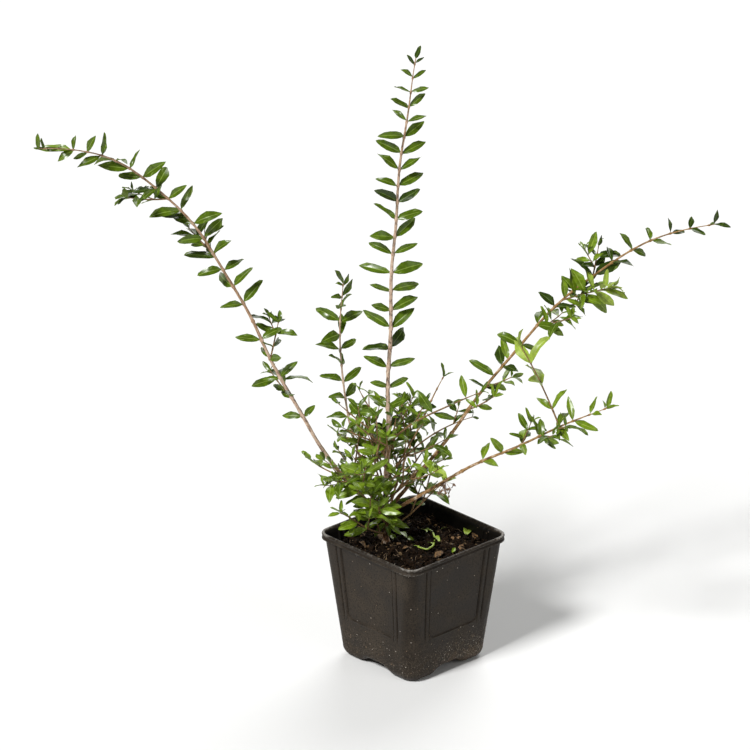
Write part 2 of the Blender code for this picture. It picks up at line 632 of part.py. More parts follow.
class Plant:
    """All the shoots, the trunk that carries them and the nodes built so far."""

    LIMB_SIDES = 8
    STEM_SIDES = 4
    TWIG_SIDES = 3
    NUDGE = 0.00002             # a twig, a leaf or a cut is moved this far where a union would leave a sliver
    SPARING = 6                 # after each so many tries one more leaf is left out
    TRIES = 36

    def __init__(self, standing):
        self.shoots = {shoot.name: shoot for shoot in MAIN_SHOOTS + tuft_shoots()}
        self.lines = {}
        for shoot in self.shoots.values():
            self.lines[shoot.name] = self.settled(shoot)
        self.stems = {name: tree_of(*line_tube(line, 0, 1, STEPS // 4, self.STEM_SIDES))
                      for name, line in self.lines.items()}
        self.trees = {made.name: object_tree(made) for made in standing}
        self.bark = material("bark", (0.23, 0.14, 0.08), 0.8)
        self.green = material("leaf", (0.06, 0.16, 0.03), 0.45)

    def start_of(self, shoot):
        """The point on its carrier's line where a shoot starts."""
        if not shoot.carrier:
            return np.array([*TRUNK_FOOT, SOIL_LEVEL + GAP])
        carrier = self.lines[shoot.carrier]
        return carrier.point(np.array([shoot.at / carrier.shoot.length]))[0]

    def settled(self, shoot):
        """The line of a shoot; a short one turns until its stem is clear of the stems before it."""
        if not shoot.name.startswith("tuft"):
            return Line(shoot, self.start_of(shoot))
        best = None
        for rise, turn in product(TUFT_RISES, TUFT_TURNS):
            moved = replace(shoot, heading=shoot.heading + turn, at=shoot.at + rise)
            line = Line(moved, self.start_of(moved))
            room = self.room(line)
            if best is None or room > best[0]:
                best = (room, line)
            if room > 0:
                break
        return best[1]

    def room(self, line):
        """The least distance from a line to the others, less both radii and the clearance."""
        along = np.linspace(0, 1, STEPS + 1)
        points, radii = line.points, line.radius(along)
        least = 1.0
        trunk = self.lines["upright"]
        outside = np.linalg.norm(points[:, None] - trunk.points[None], axis=2).min(axis=1) > TRUNK_REACH
        for other in self.lines.values():
            if other is not trunk:
                gaps = np.linalg.norm(points[:, None] - other.points[None], axis=2)
                gaps = gaps - radii[:, None] - other.radius(along)[None] - CLEAR
                least = min(least, gaps[outside].min())
        return least

    def add(self, made, finish):
        """Give a node its finish and keep other nodes clear of it."""
        made.data.materials.clear()
        made.data.materials.append(finish)
        self.trees[made.name] = object_tree(made)
        return made

    def trunk(self):
        """The trunk, flared at the ground and cut flat there, up to where the leaves start."""
        line = self.lines["upright"]
        share = self.trunk_shares()
        tangent, level = line.tangent(share), line.level(share)
        tangent[0] = (0, 0, 1)
        shape = tube(line.point(share), trunk_radius(line, share), (level, np.cross(tangent, level)),
                     self.LIMB_SIDES)
        return self.add(mesh_object("trunk", *shape), self.bark)

    def trunk_shares(self):
        """Where the trunk's rings are, closer together in its flare."""
        flare = np.linspace(0, 0.034, 4)
        return np.concatenate([flare, np.linspace(0.050, self.shoots["upright"].bare, 6)])

    def trunk_cutter(self, extra=0.0):
        """The trunk with its clearance all round, which cuts the foot of what grows on it."""
        line = self.lines["upright"]
        share = self.trunk_shares()
        tangent, level = line.tangent(share), line.level(share)
        radii = trunk_radius(line, share) + CUT_GAP + extra
        return mesh_object("cutter", *tube(line.point(share), radii, (level, np.cross(tangent, level)),
                                           self.LIMB_SIDES))

    def bough(self, shoot):
        """A bare tapering limb from the trunk's side to where its leaves start."""
        rings = max(6, round(shoot.length * shoot.bare / 0.008))
        made = mesh_object("bough_" + shoot.name, *line_tube(
            self.lines[shoot.name], 0, shoot.bare, rings, self.LIMB_SIDES))
        apply_boolean(made, "DIFFERENCE", [self.trunk_cutter()], "EXACT")
        tidy(made)
        return self.add(made, self.bark)

    def stem(self, shoot, extra=0.0):
        """The stem of a mass, cut clear of the trunk where it starts there."""
        begin = shoot.bare + (GAP / shoot.length if shoot.bare else 0)
        rings = max(5, round(shoot.length * (1 - begin) / 0.016))
        sides = self.STEM_SIDES if shoot.length > 0.16 else self.TWIG_SIDES
        wood = line_tube(self.lines[shoot.name], begin, 1, rings, sides)
        made = mesh_object("foliage_" + shoot.name, *wood)
        if not shoot.bare:
            apply_boolean(made, "DIFFERENCE", [self.trunk_cutter(extra)], "EXACT")
            tidy(made)
        return made

    def neighbours(self, shoot):
        """Search trees of all that a mass must not touch: what stands already, and every other stem."""
        foreign = [tree for name, tree in self.stems.items()
                   if name != shoot.name and self.shoots[name].joins != shoot.name]
        return list(self.trees.values()) + foreign

    def sprays(self, shoot, others, standing):
        """The lines of a mass: its own, those that join it, and the side twigs that keep to its space."""
        lines = [self.lines[shoot.name]]
        lines += [self.lines[other.name] for other in self.shoots.values() if other.joins == shoot.name]
        kept = list(lines)
        for twig in [twig for line in lines for twig in twigs_of(line)]:
            far = in_space(twig.points[None, STEPS // 3:], lines[0].points, others)[0]
            shape = tree_of(*self.twig_tube(twig, CLEAR))
            if far and not any(shape.overlap(tree) for tree in standing):
                kept.append(twig)
        return kept

    def twig_tube(self, line, grow=0.0):
        """The three-sided tube of a twig."""
        rings = max(4, round(line.shoot.length / 0.012))
        share = np.linspace(0, 1, rings)
        tangent, level = line.tangent(share), line.level(share)
        return tube(line.point(share), line.radius(share) + grow, (level, np.cross(tangent, level)),
                    self.TWIG_SIDES)

    @staticmethod
    def leaves(lines, others, standing, wood):
        """The leaves of a mass that keep to its space and touch nothing but the stem they grow on."""
        own = np.concatenate([line.points for line in lines])
        places, blades = [], []
        for line in lines:
            leaves = leaves_of(line)
            leaves = leaves.pick(in_space(leaves.samples(), own, others))
            for place in zip(leaves.foot, leaves.way, leaves.face, leaves.length):
                whole = tree_of(*leaf_solid(*place, grow=CLEAR / 2))
                blade = tree_of(*leaf_solid(*place, start=0.3, grow=CLEAR / 2))
                if any(whole.overlap(tree) for tree in standing):
                    continue
                if any(blade.overlap(tree) for tree in wood + blades):
                    continue
                blades.append(tree_of(*leaf_solid(*place, start=0.2)))
                places.append(place)
        return places

    def mass(self, shoot):
        """A mass of leaves: the rest of the shoot's stem, its side twigs and the leaves on both."""
        others = np.concatenate([line.points[STEPS // 10:] for name, line in self.lines.items()
                                 if name != shoot.name and self.shoots[name].joins != shoot.name])
        standing = self.neighbours(shoot)
        lines = self.sprays(shoot, others, standing)
        stem = self.stem(shoot)
        wood = [object_tree(stem)] + [tree_of(*self.twig_tube(line)) for line in lines[1:]]
        places = self.leaves(lines, others, standing, wood)
        rng = np.random.default_rng(shoot.seed)
        for attempt in range(self.TRIES):
            shapes = [self.twig_tube(line) for line in lines[1:]]
            shapes += [leaf_solid(*place) for place in places]
            spared = rng.choice(len(places), size=attempt // self.SPARING, replace=False) + len(lines) - 1
            group = []
            for number, (verts, faces) in enumerate(shapes):
                if number not in spared:
                    nudge = rng.uniform(-1, 1, 3) * self.NUDGE * min(attempt, self.SPARING)
                    group.append(mesh_object("spray", verts + nudge, faces))
            apply_boolean(stem, "UNION", group, "MANIFOLD")
            if tidy(stem):
                return self.add(stem, self.green)
            remove(stem)
            stem = self.stem(shoot, self.NUDGE * (attempt + 1))
        raise RuntimeError("no clean union for " + stem.name)


def build():
    """Make every node, from the ground up."""
    for made in list(bpy.data.objects):
        bpy.data.objects.remove(made)
    outline = Outline()
    pot = pot_object(outline)
    pot.data.materials.append(material("pot plastic", (0.028, 0.026, 0.024), 0.55))
    soil = soil_object(outline)
    soil.data.materials.append(material("soil", (0.045, 0.028, 0.018), 0.95))
    plant = Plant((pot, soil))
    plant.trunk()
    for shoot in plant.shoots.values():
        if shoot.bare and shoot.carrier:
            plant.bough(shoot)
    for shoot in plant.shoots.values():
        if not shoot.joins:
            plant.mass(shoot)


build()
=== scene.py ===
"""A young box honeysuckle in its square nursery pot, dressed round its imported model.

Lengths are in metres and angles in degrees. +Z is up, the origin is the middle of the pot's underside and the
plant's front faces -Y. The pot stands corner forward, so its four corners lie on the X and Y axes.

The shrub grows by the rule of its solids: a line for each shoot, pairs of leaves up it and side twigs at the feet
of some pairs. Here the rule goes on to finer twigs, and each leaf has its own outline, fold and curl.
"""

import logging
from dataclasses import dataclass, field, replace
from enum import Enum
from itertools import product
from typing import Any, Iterable, Optional, Union

import bpy
import numpy as np
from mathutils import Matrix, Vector
from mathutils.kdtree import KDTree


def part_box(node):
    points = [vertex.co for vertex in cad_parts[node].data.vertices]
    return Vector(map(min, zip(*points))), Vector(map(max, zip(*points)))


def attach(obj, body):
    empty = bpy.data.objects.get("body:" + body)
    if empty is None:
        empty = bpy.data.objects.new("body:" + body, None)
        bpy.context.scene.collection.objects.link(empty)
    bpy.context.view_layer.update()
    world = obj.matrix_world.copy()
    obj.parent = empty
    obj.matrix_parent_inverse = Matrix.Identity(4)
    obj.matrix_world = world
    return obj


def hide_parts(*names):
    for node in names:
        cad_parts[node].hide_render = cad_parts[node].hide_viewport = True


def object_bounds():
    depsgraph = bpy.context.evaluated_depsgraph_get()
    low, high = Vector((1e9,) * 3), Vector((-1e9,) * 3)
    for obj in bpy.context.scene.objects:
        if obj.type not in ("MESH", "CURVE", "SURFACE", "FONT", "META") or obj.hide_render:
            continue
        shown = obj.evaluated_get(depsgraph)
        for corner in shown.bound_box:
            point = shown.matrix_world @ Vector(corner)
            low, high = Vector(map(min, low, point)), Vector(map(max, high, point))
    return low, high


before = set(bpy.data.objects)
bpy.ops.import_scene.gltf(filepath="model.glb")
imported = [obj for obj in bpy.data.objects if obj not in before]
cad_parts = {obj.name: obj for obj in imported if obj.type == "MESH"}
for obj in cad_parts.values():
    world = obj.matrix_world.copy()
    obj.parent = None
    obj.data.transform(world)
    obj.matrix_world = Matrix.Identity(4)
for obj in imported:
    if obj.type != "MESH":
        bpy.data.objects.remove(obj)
CAD_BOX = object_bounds()
BODY = "root"
FOLIAGE_NODES = tuple(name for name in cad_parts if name.startswith("foliage_"))

log = logging.getLogger("box_honeysuckle")

Array = np.ndarray
Pair = tuple[float, float]
Span = Pair  # least and greatest value
Triple = tuple[float, float, float]
Colour = Triple


# Shader maths

class Sock:
    """An output socket whose arithmetic adds Math nodes."""

    def __init__(self, graph: "Graph", socket: bpy.types.NodeSocket) -> None:
        """Keep the socket and the graph that its sums are added to."""
        self.graph = graph
        self.socket = socket

    def __add__(self, other: "Number") -> "Sock":
        """This value plus another."""
        return self.graph.math("ADD", self, other)

    def __mul__(self, other: "Number") -> "Sock":
        """This value times another."""
        return self.graph.math("MULTIPLY", self, other)

    __radd__ = __add__
    __rmul__ = __mul__


Number = Union[Sock, float]


class Graph:
    """The nodes of one material round its Principled shader."""

    def __init__(self, name: str) -> None:
        """Make an empty material.

        Args:
            name: the material's name.
        """
        self.material = bpy.data.materials.new(name)
        self.material.use_nodes = True
        self.tree = self.material.node_tree
        self.shader = self.tree.nodes["Principled BSDF"]
        self.place = self.node("ShaderNodeTexCoord", output="Object")

    def node(self, kind: str, settings: Optional[dict[str, Any]] = None,
             inputs: Optional[dict[Union[str, int], Any]] = None, output: Union[str, int] = 0) -> Sock:
        """Add any node.

        Args:
            kind: the node's type.
            settings: its own settings, set first; stops are a ramp's positions and colours.
            inputs: values or links of its sockets, by name or number.
            output: the output that is returned.

        Returns:
            The chosen output.
        """
        made = self.tree.nodes.new(kind)
        for name, value in (settings or {}).items():
            if name == "stops":
                self.set_stops(made.color_ramp, value)
            else:
                setattr(made, name, value)
        for name, value in (inputs or {}).items():
            self.feed(made.inputs[name], value)
        return Sock(self, made.outputs[output])

    @staticmethod
    def set_stops(ramp: bpy.types.ColorRamp, stops: Iterable[tuple[float, Colour]]) -> None:
        """Give a ramp its stops.

        Args:
            ramp: the ramp, with Blender's two stops.
            stops: positions and colours, from low to high.
        """
        stops = list(stops)
        for position, _ in stops[1:-1]:
            ramp.elements.new(position)
        for element, (position, colour) in zip(ramp.elements, stops):
            element.position = position
            element.color = (*colour, 1.0)

    def feed(self, socket: bpy.types.NodeSocket, value: Any) -> None:
        """Set or link an input.

        Args:
            socket: the input.
            value: a Sock to link, a number, colour or vector to set, or None to leave it as it is.
        """
        if isinstance(value, Sock):
            self.tree.links.new(value.socket, socket)
        elif value is not None:
            socket.default_value = (*value, 1.0) if socket.type == "RGBA" else value

    def math(self, operation: str, first: Number, second: Number) -> Sock:
        """Two values through a Math node."""
        return self.node("ShaderNodeMath", {"operation": operation}, {0: first, 1: second})

    def mix(self, factor: Number, first: Any, second: Any) -> Sock:
        """Two colours, the second as far as the factor says."""
        return self.node("ShaderNodeMix", {"data_type": "RGBA"}, {0: factor, 6: first, 7: second}, 2)

    def noise(self, scale: float, detail: float = 4.0, rough: float = 0.55, vector: Optional[Sock] = None) -> Sock:
        """Cloudy noise from 0 to 1, scale clouds to a metre of the vector."""
        return self.node("ShaderNodeTexNoise", None, {
            "Vector": vector or self.place, "Scale": scale, "Detail": detail, "Roughness": rough})

    def cells(self, scale: float, output: str = "Distance") -> Sock:
        """Distance to the middle of scattered cells, or their random colour."""
        return self.node("ShaderNodeTexVoronoi", None, {"Vector": self.place, "Scale": scale}, output)

    def ease(self, value: Number, low: float, high: float) -> Sock:
        """0 below low, 1 above high, and eased between; high may be the lower of the two."""
        return self.node("ShaderNodeMapRange", {"interpolation_type": "SMOOTHSTEP"},
                         {"Value": value, "From Min": low, "From Max": high})

    def ramp(self, factor: Number, *stops: tuple[float, Colour]) -> Sock:
        """A colour from a ramp."""
        return self.node("ShaderNodeValToRGB", {"stops": stops}, {"Fac": factor})

    def carried(self, name: str, output: str = "Fac") -> Sock:
        """A value that the mesh's points carry."""
        return self.node("ShaderNodeAttribute", {"attribute_name": name}, None, output)

    def part(self, vector: Sock, axis: str) -> Sock:
        """One part of a vector or colour, X, Y or Z."""
        return self.node("ShaderNodeSeparateXYZ", None, {0: vector}, axis)

    def stretched(self, vector: Sock, scale: Triple) -> Sock:
        """A vector scaled apart along its axes."""
        return self.node("ShaderNodeVectorMath", {"operation": "MULTIPLY"}, {0: vector, 1: scale})

    def bump(self, height: Number, distance: float, strength: float = 1.0, normal: Optional[Sock] = None) -> Sock:
        """A normal from a height whose full range is distance metres deep."""
        return self.node("ShaderNodeBump", None, {
            "Height": height, "Distance": distance, "Strength": strength, "Normal": normal})

    def dress(self, **sockets: Any) -> bpy.types.Material:
        """Feed the shader and hand the material over.

        Args:
            sockets: the shader's inputs, with _ for each space in their names.

        Returns:
            The finished material.
        """
        for name, value in sockets.items():
            self.feed(self.shader.inputs[name.replace("_", " ")], value)
        return self.material


# Finishes

@dataclass(frozen=True)
class PotPlastic:
    """Thin charcoal plastic with a worn lip, dust, pale specks and dried soil low down, and with painted light.

    The wear and painted light that the mesh carries run from 0 to 1 at the lip, where they paint wear and a
    highlight along its top edges, and are below 0 on the inner wall, where they paint shade.
    """

    plain: Colour = (0.0195, 0.0140, 0.0092)
    dusty: Colour = (0.066, 0.052, 0.038)
    # painted shade of the inner wall, and also the dark of the plastic's fine grain
    inside: Colour = (0.0055, 0.0045, 0.0035)
    # pale colour of the lip's wear and of its painted highlight
    worn_and_painted_light: Colour = (0.24, 0.225, 0.205)
    mud: Colour = (0.085, 0.062, 0.042)
    spatter: Colour = (0.28, 0.235, 0.185)
    speck: Colour = (0.62, 0.56, 0.48)
    brown_speck: Colour = (0.26, 0.165, 0.090)
    muddy_to: float = 0.038  # height up to which soil sticks to the wall
    large: Pair = (300.0, 0.13)  # specks: cells to a metre, and radius over a cell
    small: Pair = (690.0, 0.24)

    def material(self) -> bpy.types.Material:
        """The finish as a material."""
        graph = Graph("pot_plastic")
        side = graph.ease(graph.part(graph.place, "X"), -0.010, 0.040)
        low = graph.ease(graph.part(graph.place, "Z"), self.muddy_to, 0.006) * (0.45 + 0.55 * side)
        cloud = graph.noise(55.0, 5.0)
        fine = graph.noise(900.0, 3.0, 0.6)
        dust = graph.ease(cloud + 0.35 * fine, 0.52, 0.86)
        base = graph.mix(dust * 0.45, self.plain, self.dusty)
        # a fine dark grain in the plastic
        base = graph.mix(graph.ease(graph.noise(1000.0, 2.0, 0.7), 0.52, 0.34) * 0.70, base, self.inside)
        stain = graph.ease(graph.noise(170.0, 6.0, 0.62) + 0.20 * low, 0.63, 0.80)
        base = graph.mix(stain * (0.05 + 0.50 * low), base, self.mud)
        spatter = graph.ease(graph.noise(1150.0, 3.0, 0.7) + 0.05 * low, 0.59, 0.68) * low
        base = graph.mix(spatter * 0.80, base, self.spatter)
        wear = graph.carried("wear")
        # painted shade on the inner wall and floor, where the mesh's carried value is below 0
        base = graph.mix(graph.ease(wear, -0.05, -0.30), base, self.inside)
        # wear and painted highlight on the lip, in patches, strongest on its top edges and at the corners
        scuffed_and_highlit = graph.ease(graph.noise(420.0, 4.0, 0.7) + 0.25 * wear, 0.50, 0.78) * wear
        base = graph.mix(scuffed_and_highlit, base, self.worn_and_painted_light)
        specks = self.specks(graph, *self.large, low) + self.specks(graph, *self.small, low)
        tint = graph.mix(graph.ease(graph.noise(210.0, 1.0), 0.44, 0.56), self.speck, self.brown_speck)
        base = graph.mix(graph.math("MINIMUM", specks, 1.0), base, tint)
        grit = graph.ease(graph.noise(1300.0, 2.0, 0.5), 0.35, 0.75)
        normal = graph.bump(grit, 0.00006, 0.5)
        normal = graph.bump(specks + 0.5 * stain, 0.00018, 1.0, normal)
        return graph.dress(Base_Color=base, Roughness=0.42 + 0.26 * dust + 0.2 * stain, Normal=normal,
                           Specular_IOR_Level=0.14)

    def specks(self, graph: Graph, scale: float, size: float, low: Sock) -> Sock:
        """Small pale specks of one size.

        Args:
            graph: the material's nodes.
            scale: cells to a metre.
            size: the specks' radius as a share of a cell.
            low: 1 near the ground, where more of them stick.

        Returns:
            1 on a speck and 0 elsewhere.
        """
        chance = graph.part(graph.cells(scale, "Color"), "X")
        there = graph.ease(chance + 0.22 * low, 0.972, 0.986)
        return graph.ease(graph.cells(scale), size, size * 0.55) * there


@dataclass(frozen=True)
class Peat:
    """Moist peat, brown on its crumbs, with painted shade that makes it nearly black in its hollows."""

    name: str
    dark: Colour = (0.0016, 0.0010, 0.0007)
    light: Colour = (0.024, 0.013, 0.0065)
    grain: float = 700.0
    full_shade_height: float = 0.0762  # height below which painted shade makes the peat dark all over
    no_shade_height: float = 0.0802  # height from which no shade is painted and its crumbs are at their lightest

    def material(self) -> bpy.types.Material:
        """The finish as a material."""
        graph = Graph(self.name)
        cloud = graph.noise(self.grain, 6.0, 0.68)
        tone = graph.ease(cloud + 0.35 * graph.noise(110.0, 3.0), 0.52, 0.90)
        # painted shade: the peat darkens towards the bottom of its hollows
        tone = tone * graph.ease(graph.part(graph.place, "Z"), self.full_shade_height, self.no_shade_height)
        normal = graph.bump(cloud, 0.0006)
        return graph.dress(Base_Color=graph.mix(tone, self.dark, self.light),
                           Roughness=0.70 + 0.28 * tone, Normal=normal, Specular_IOR_Level=0.06)


@dataclass(frozen=True)
class Bark:
    """Thin bark: smooth and pinkish on young wood, flaking and orange-brown on old wood."""

    name: str
    young: Colour
    middle: Colour
    old: Colour = (0.19, 0.090, 0.036)
    flake: Colour = (0.62, 0.50, 0.38)
    crack: Colour = (0.035, 0.017, 0.008)

    def material(self) -> bpy.types.Material:
        """The finish as a material; its grain runs with the wood."""
        graph = Graph(self.name)
        grain = graph.carried("grain", "Vector")
        age = graph.carried("age")
        fibres = graph.noise(1.0, 5.0, 0.6, graph.stretched(grain, (1500.0, 1500.0, 170.0)))
        patches = graph.noise(1.0, 4.0, 0.65, graph.stretched(grain, (520.0, 520.0, 300.0)))
        base = graph.ramp(age, (0.0, self.young), (0.35, self.middle), (0.75, self.middle), (1.0, self.old))
        base = graph.mix(graph.ease(patches, 0.54, 0.64) * (0.50 + 0.35 * age), base, self.flake)
        base = graph.mix(graph.ease(patches, 0.48, 0.38) * (0.55 + 0.30 * age), base, self.crack)
        base = graph.mix(graph.ease(fibres, 0.50, 0.32) * (0.30 + 0.45 * age), base, self.crack)
        normal = graph.bump(fibres + 0.6 * patches, 0.00030)
        return graph.dress(Base_Color=base, Roughness=0.62 + 0.25 * patches, Normal=normal,
                           Specular_IOR_Level=0.3)


@dataclass(frozen=True)
class LeafSkin:
    """The leaves of one tint: a glossy upper side, a lighter midrib and a dull pale underside."""

    name: str
    upper: Colour
    rib: Colour
    under: Colour
    rough: float = 0.20
    gloss: float = 0.32

    def materials(self) -> list[bpy.types.Material]:
        """The upper side, the midrib and the underside."""
        return [self.side("upper", self.upper, self.rough), self.side("rib", self.rib, self.rough + 0.1),
                self.side("under", self.under, 0.58)]

    def side(self, part: str, colour: Colour, rough: float) -> bpy.types.Material:
        """One side's material, a little mottled.

        Args:
            part: which side.
            colour: its own colour.
            rough: its roughness where it is smoothest.

        Returns:
            The material.
        """
        graph = Graph("leaf_%s_%s" % (self.name, part))
        cloud = graph.noise(260.0, 3.0, 0.6)
        darker = tuple(0.68 * value for value in colour)
        return graph.dress(Base_Color=graph.mix(graph.ease(cloud, 0.38, 0.64), darker, colour),
                           Roughness=rough + 0.12 * cloud, Specular_IOR_Level=self.gloss)


@dataclass(frozen=True)
class Mottled:
    """Matter in two tones: fibres, bark chips, husks, dry leaves and the thin wood of twigs."""

    name: str
    light: Colour
    dark: Colour
    grain: float = 1100.0
    fineness: float = 0.62  # strength of the grain's finest clouds
    shade: float = 0.34  # how thick the clouds are where it is at its darkest
    rough: float = 0.70
    relief: float = 0.0003

    def material(self) -> bpy.types.Material:
        """The finish as a material."""
        graph = Graph(self.name)
        cloud = graph.noise(self.grain, 4.0, self.fineness)
        base = graph.mix(graph.ease(cloud, self.shade, 0.66), self.dark, self.light)
        return graph.dress(Base_Color=base, Roughness=self.rough + 0.25 * cloud,
                           Normal=graph.bump(cloud, self.relief))


@dataclass(frozen=True)
class Backdrop:
    """The pale floor."""

    pale: Colour = (0.80, 0.80, 0.79)

    def material(self) -> bpy.types.Material:
        """The finish as a material."""
        graph = Graph("backdrop")
        return graph.dress(Base_Color=self.pale, Roughness=0.7 + 0.1 * graph.noise(3.0))


# Meshes

@dataclass
class Shape:
    """Points and faces gathered for one mesh, with what they carry."""

    crease: float = 180.0  # angle past which an edge is sharp
    points: list[Array] = field(default_factory=list)
    faces: list[Array] = field(default_factory=list)
    slots: list[Array] = field(default_factory=list)
    carried: dict[str, list[Array]] = field(default_factory=dict)
    count: int = 0

    def add(self, points: Array, faces: list[Array], slots: Optional[list[int]] = None, **carried: Array) -> None:
        """Add one body.

        Args:
            points: its points, (n, 3).
            faces: arrays of its own point numbers, one row for each face.
            slots: the material slot of each array of faces, the first where there are none.
            carried: values for each point, by attribute name.
        """
        for part, slot in zip(faces, slots or [0] * len(faces)):
            self.faces.append(part + self.count)
            self.slots.append(np.full(len(part), slot))
        for name, values in carried.items():
            self.carried.setdefault(name, []).append(values)
        self.points.append(points)
        self.count += len(points)

    def piece(self, name: str, finishes: list[bpy.types.Material]) -> bpy.types.Object:
        """Turn what was gathered into an object.

        Args:
            name: the piece's name.
            finishes: its materials, in the order of its slots.

        Returns:
            The object, linked to the scene.
        """
        mesh = bpy.data.meshes.new(name)
        points = np.concatenate(self.points)
        corners = np.concatenate([part.ravel() for part in self.faces])
        sizes = np.concatenate([np.full(len(part), part.shape[1]) for part in self.faces])
        mesh.vertices.add(len(points))
        mesh.vertices.foreach_set("co", points.astype(np.float32).ravel())
        mesh.loops.add(len(corners))
        mesh.loops.foreach_set("vertex_index", corners.astype(np.int32))
        mesh.polygons.add(len(sizes))
        mesh.polygons.foreach_set("loop_start", (np.cumsum(sizes) - sizes).astype(np.int32))
        mesh.polygons.foreach_set("material_index", np.concatenate(self.slots).astype(np.int32))
        mesh.polygons.foreach_set("use_smooth", np.ones(len(sizes), bool))
        mesh.update(calc_edges=True)
        for key, parts in self.carried.items():
            values = np.concatenate(parts).astype(np.float32)
            vector = values.ndim == 2
            made = mesh.attributes.new(key, "FLOAT_VECTOR" if vector else "FLOAT", "POINT")
            made.data.foreach_set("vector" if vector else "value", values.ravel())
        if self.crease < 180.0:
            mesh.set_sharp_from_angle(angle=np.radians(self.crease))
        for finish in finishes:
            mesh.materials.append(finish)
        made = bpy.data.objects.new(name, mesh)
        bpy.context.scene.collection.objects.link(made)
        log.info("%s: %d faces", name, len(sizes))
        return made

    def tied(self, name: str, slot: str, finishes: list[bpy.types.Material], *nodes: str) -> None:
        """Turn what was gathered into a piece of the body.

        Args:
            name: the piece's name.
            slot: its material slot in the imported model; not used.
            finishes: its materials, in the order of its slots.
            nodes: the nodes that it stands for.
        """
        made = self.piece(name, finishes)
        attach(made, BODY)
        if nodes:
            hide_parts(*nodes)


def grid_faces(rows: int, columns: int, round_about: bool = True) -> Array:
    """Quads between the rows of a grid of points, numbered row by row.

    Args:
        rows: how many rows there are.
        columns: how many points a row has.
        round_about: whether each row closes on itself.

    Returns:
        Point numbers, one row for each quad.
    """
    row, column = np.meshgrid(np.arange(rows - 1), np.arange(columns - (not round_about)), indexing="ij")
    first = row * columns + column
    second = row * columns + (column + 1) % columns
    return np.stack([first, second, second + columns, first + columns], axis=-1).reshape(-1, 4)


def closed_grid(rows: int, columns: int) -> list[Array]:
    """Faces of a grid of rings whose ends close on two poles.

    Args:
        rows: how many rings there are.
        columns: how many points a ring has.

    Returns:
        Point numbers of the quads, then of the fans at the first and the last pole, which are numbered after the
        grid.
    """
    ring = np.arange(columns)
    after = (ring + 1) % columns
    start, last = rows * columns, (rows - 1) * columns
    return [grid_faces(rows, columns), rows_of(after, ring, start), rows_of(last + ring, last + after, start + 1)]


def repeated(faces: list[Array], size: int, count: int) -> list[Array]:
    """The faces of a body of so many points, repeated for many such bodies in a row."""
    starts = (np.arange(count) * size)[:, None, None]
    return [(part[None] + starts).reshape(-1, part.shape[1]) for part in faces]


def with_poles(rings: Array, first: Array, last: Array) -> Array:
    """The points of a grid of rings in order, then its two poles."""
    return np.vstack([rings.reshape(-1, 3), first, last])


def ease(value: Array, low: float, high: float) -> Array:
    """0 below low, 1 above high and 3t^2 - 2t^3 between."""
    share = np.clip((value - low) / (high - low), 0, 1)
    return share * share * (3 - 2 * share)


def unit(vectors: Array) -> Array:
    """The vectors at length one."""
    return vectors / np.linalg.norm(vectors, axis=-1, keepdims=True)


def column(values: Array) -> Array:
    """A flat array as one column."""
    return np.asarray(values)[:, None]


def circle(angle: Array) -> Array:
    """Places on the unit circle at angles in radians, (..., 2)."""
    return np.stack([np.cos(angle), np.sin(angle)], axis=-1)


def spun(flat: Array, degrees: float) -> Array:
    """Flat places turned about the origin, against the clock."""
    c, s = circle(np.radians(degrees))
    return flat @ np.array([[c, s], [-s, c]])


def risen(flat: Array, height: Array) -> Array:
    """Flat places, (..., 2), with their heights as a third part."""
    return np.concatenate([flat, np.broadcast_to(height, flat.shape[:-1])[..., None]], axis=-1)


def between(ends: Pair, share: Array) -> Array:
    """The value at a share of the way from the first end to the second."""
    return ends[0] + (ends[1] - ends[0]) * share


def rows_of(*values: Union[Array, float]) -> Array:
    """Arrays and single numbers side by side, one row for each of the arrays' values."""
    return np.stack(np.broadcast_arrays(*values), axis=1)


def square_to(way: Array, vectors: Array) -> Array:
    """The vectors less their part along way, at length one."""
    return unit(vectors - way * np.sum(vectors * way, axis=1, keepdims=True))


def spokes(level: Array, upright: Array, turn: Array) -> Array:
    """The ways out round a line, level cos(turn) + upright sin(turn), (points, turns, 3)."""
    return np.cos(turn)[None, :, None] * level[:, None] + np.sin(turn)[None, :, None] * upright[:, None]


def gaps(first: Array, second: Array) -> Array:
    """Distances from each point of one array to each of another, (n, m)."""
    return np.linalg.norm(first[:, None] - second[None], axis=2)


def lattice(across: Array, along: Array, seed: int, wrap: int = 256) -> Array:
    """Smooth noise from -1 to 1: random heights on a square lattice, blended with eased weights between corners.

    Args:
        across: first coordinate in cells, which repeats after wrap cells.
        along: second coordinate in cells.
        seed: the lattice's seed.
        wrap: cells after which the pattern repeats across.

    Returns:
        The noise at each place.
    """
    heights = np.random.default_rng(seed).uniform(-1, 1, (wrap, 256))
    cell_u, cell_v = np.floor(across).astype(int), np.floor(along).astype(int)
    share_u, share_v = ease(across - cell_u, 0, 1), ease(along - cell_v, 0, 1)
    u0, u1, v0, v1 = cell_u % wrap, (cell_u + 1) % wrap, cell_v % 256, (cell_v + 1) % 256
    low = heights[u0, v0] * (1 - share_u) + heights[u1, v0] * share_u
    high = heights[u0, v1] * (1 - share_u) + heights[u1, v1] * share_u
    return low * (1 - share_v) + high * share_v


def tree_of(points: Array) -> KDTree:
    """A search tree of points.

    Args:
        points: the points, (..., 3).

    Returns:
        The tree, which numbers them in their order.
    """
    tree = KDTree(points.size // 3)
    for number, point in enumerate(points.reshape(-1, 3)):
        tree.insert(point, number)
    tree.balance()
    return tree


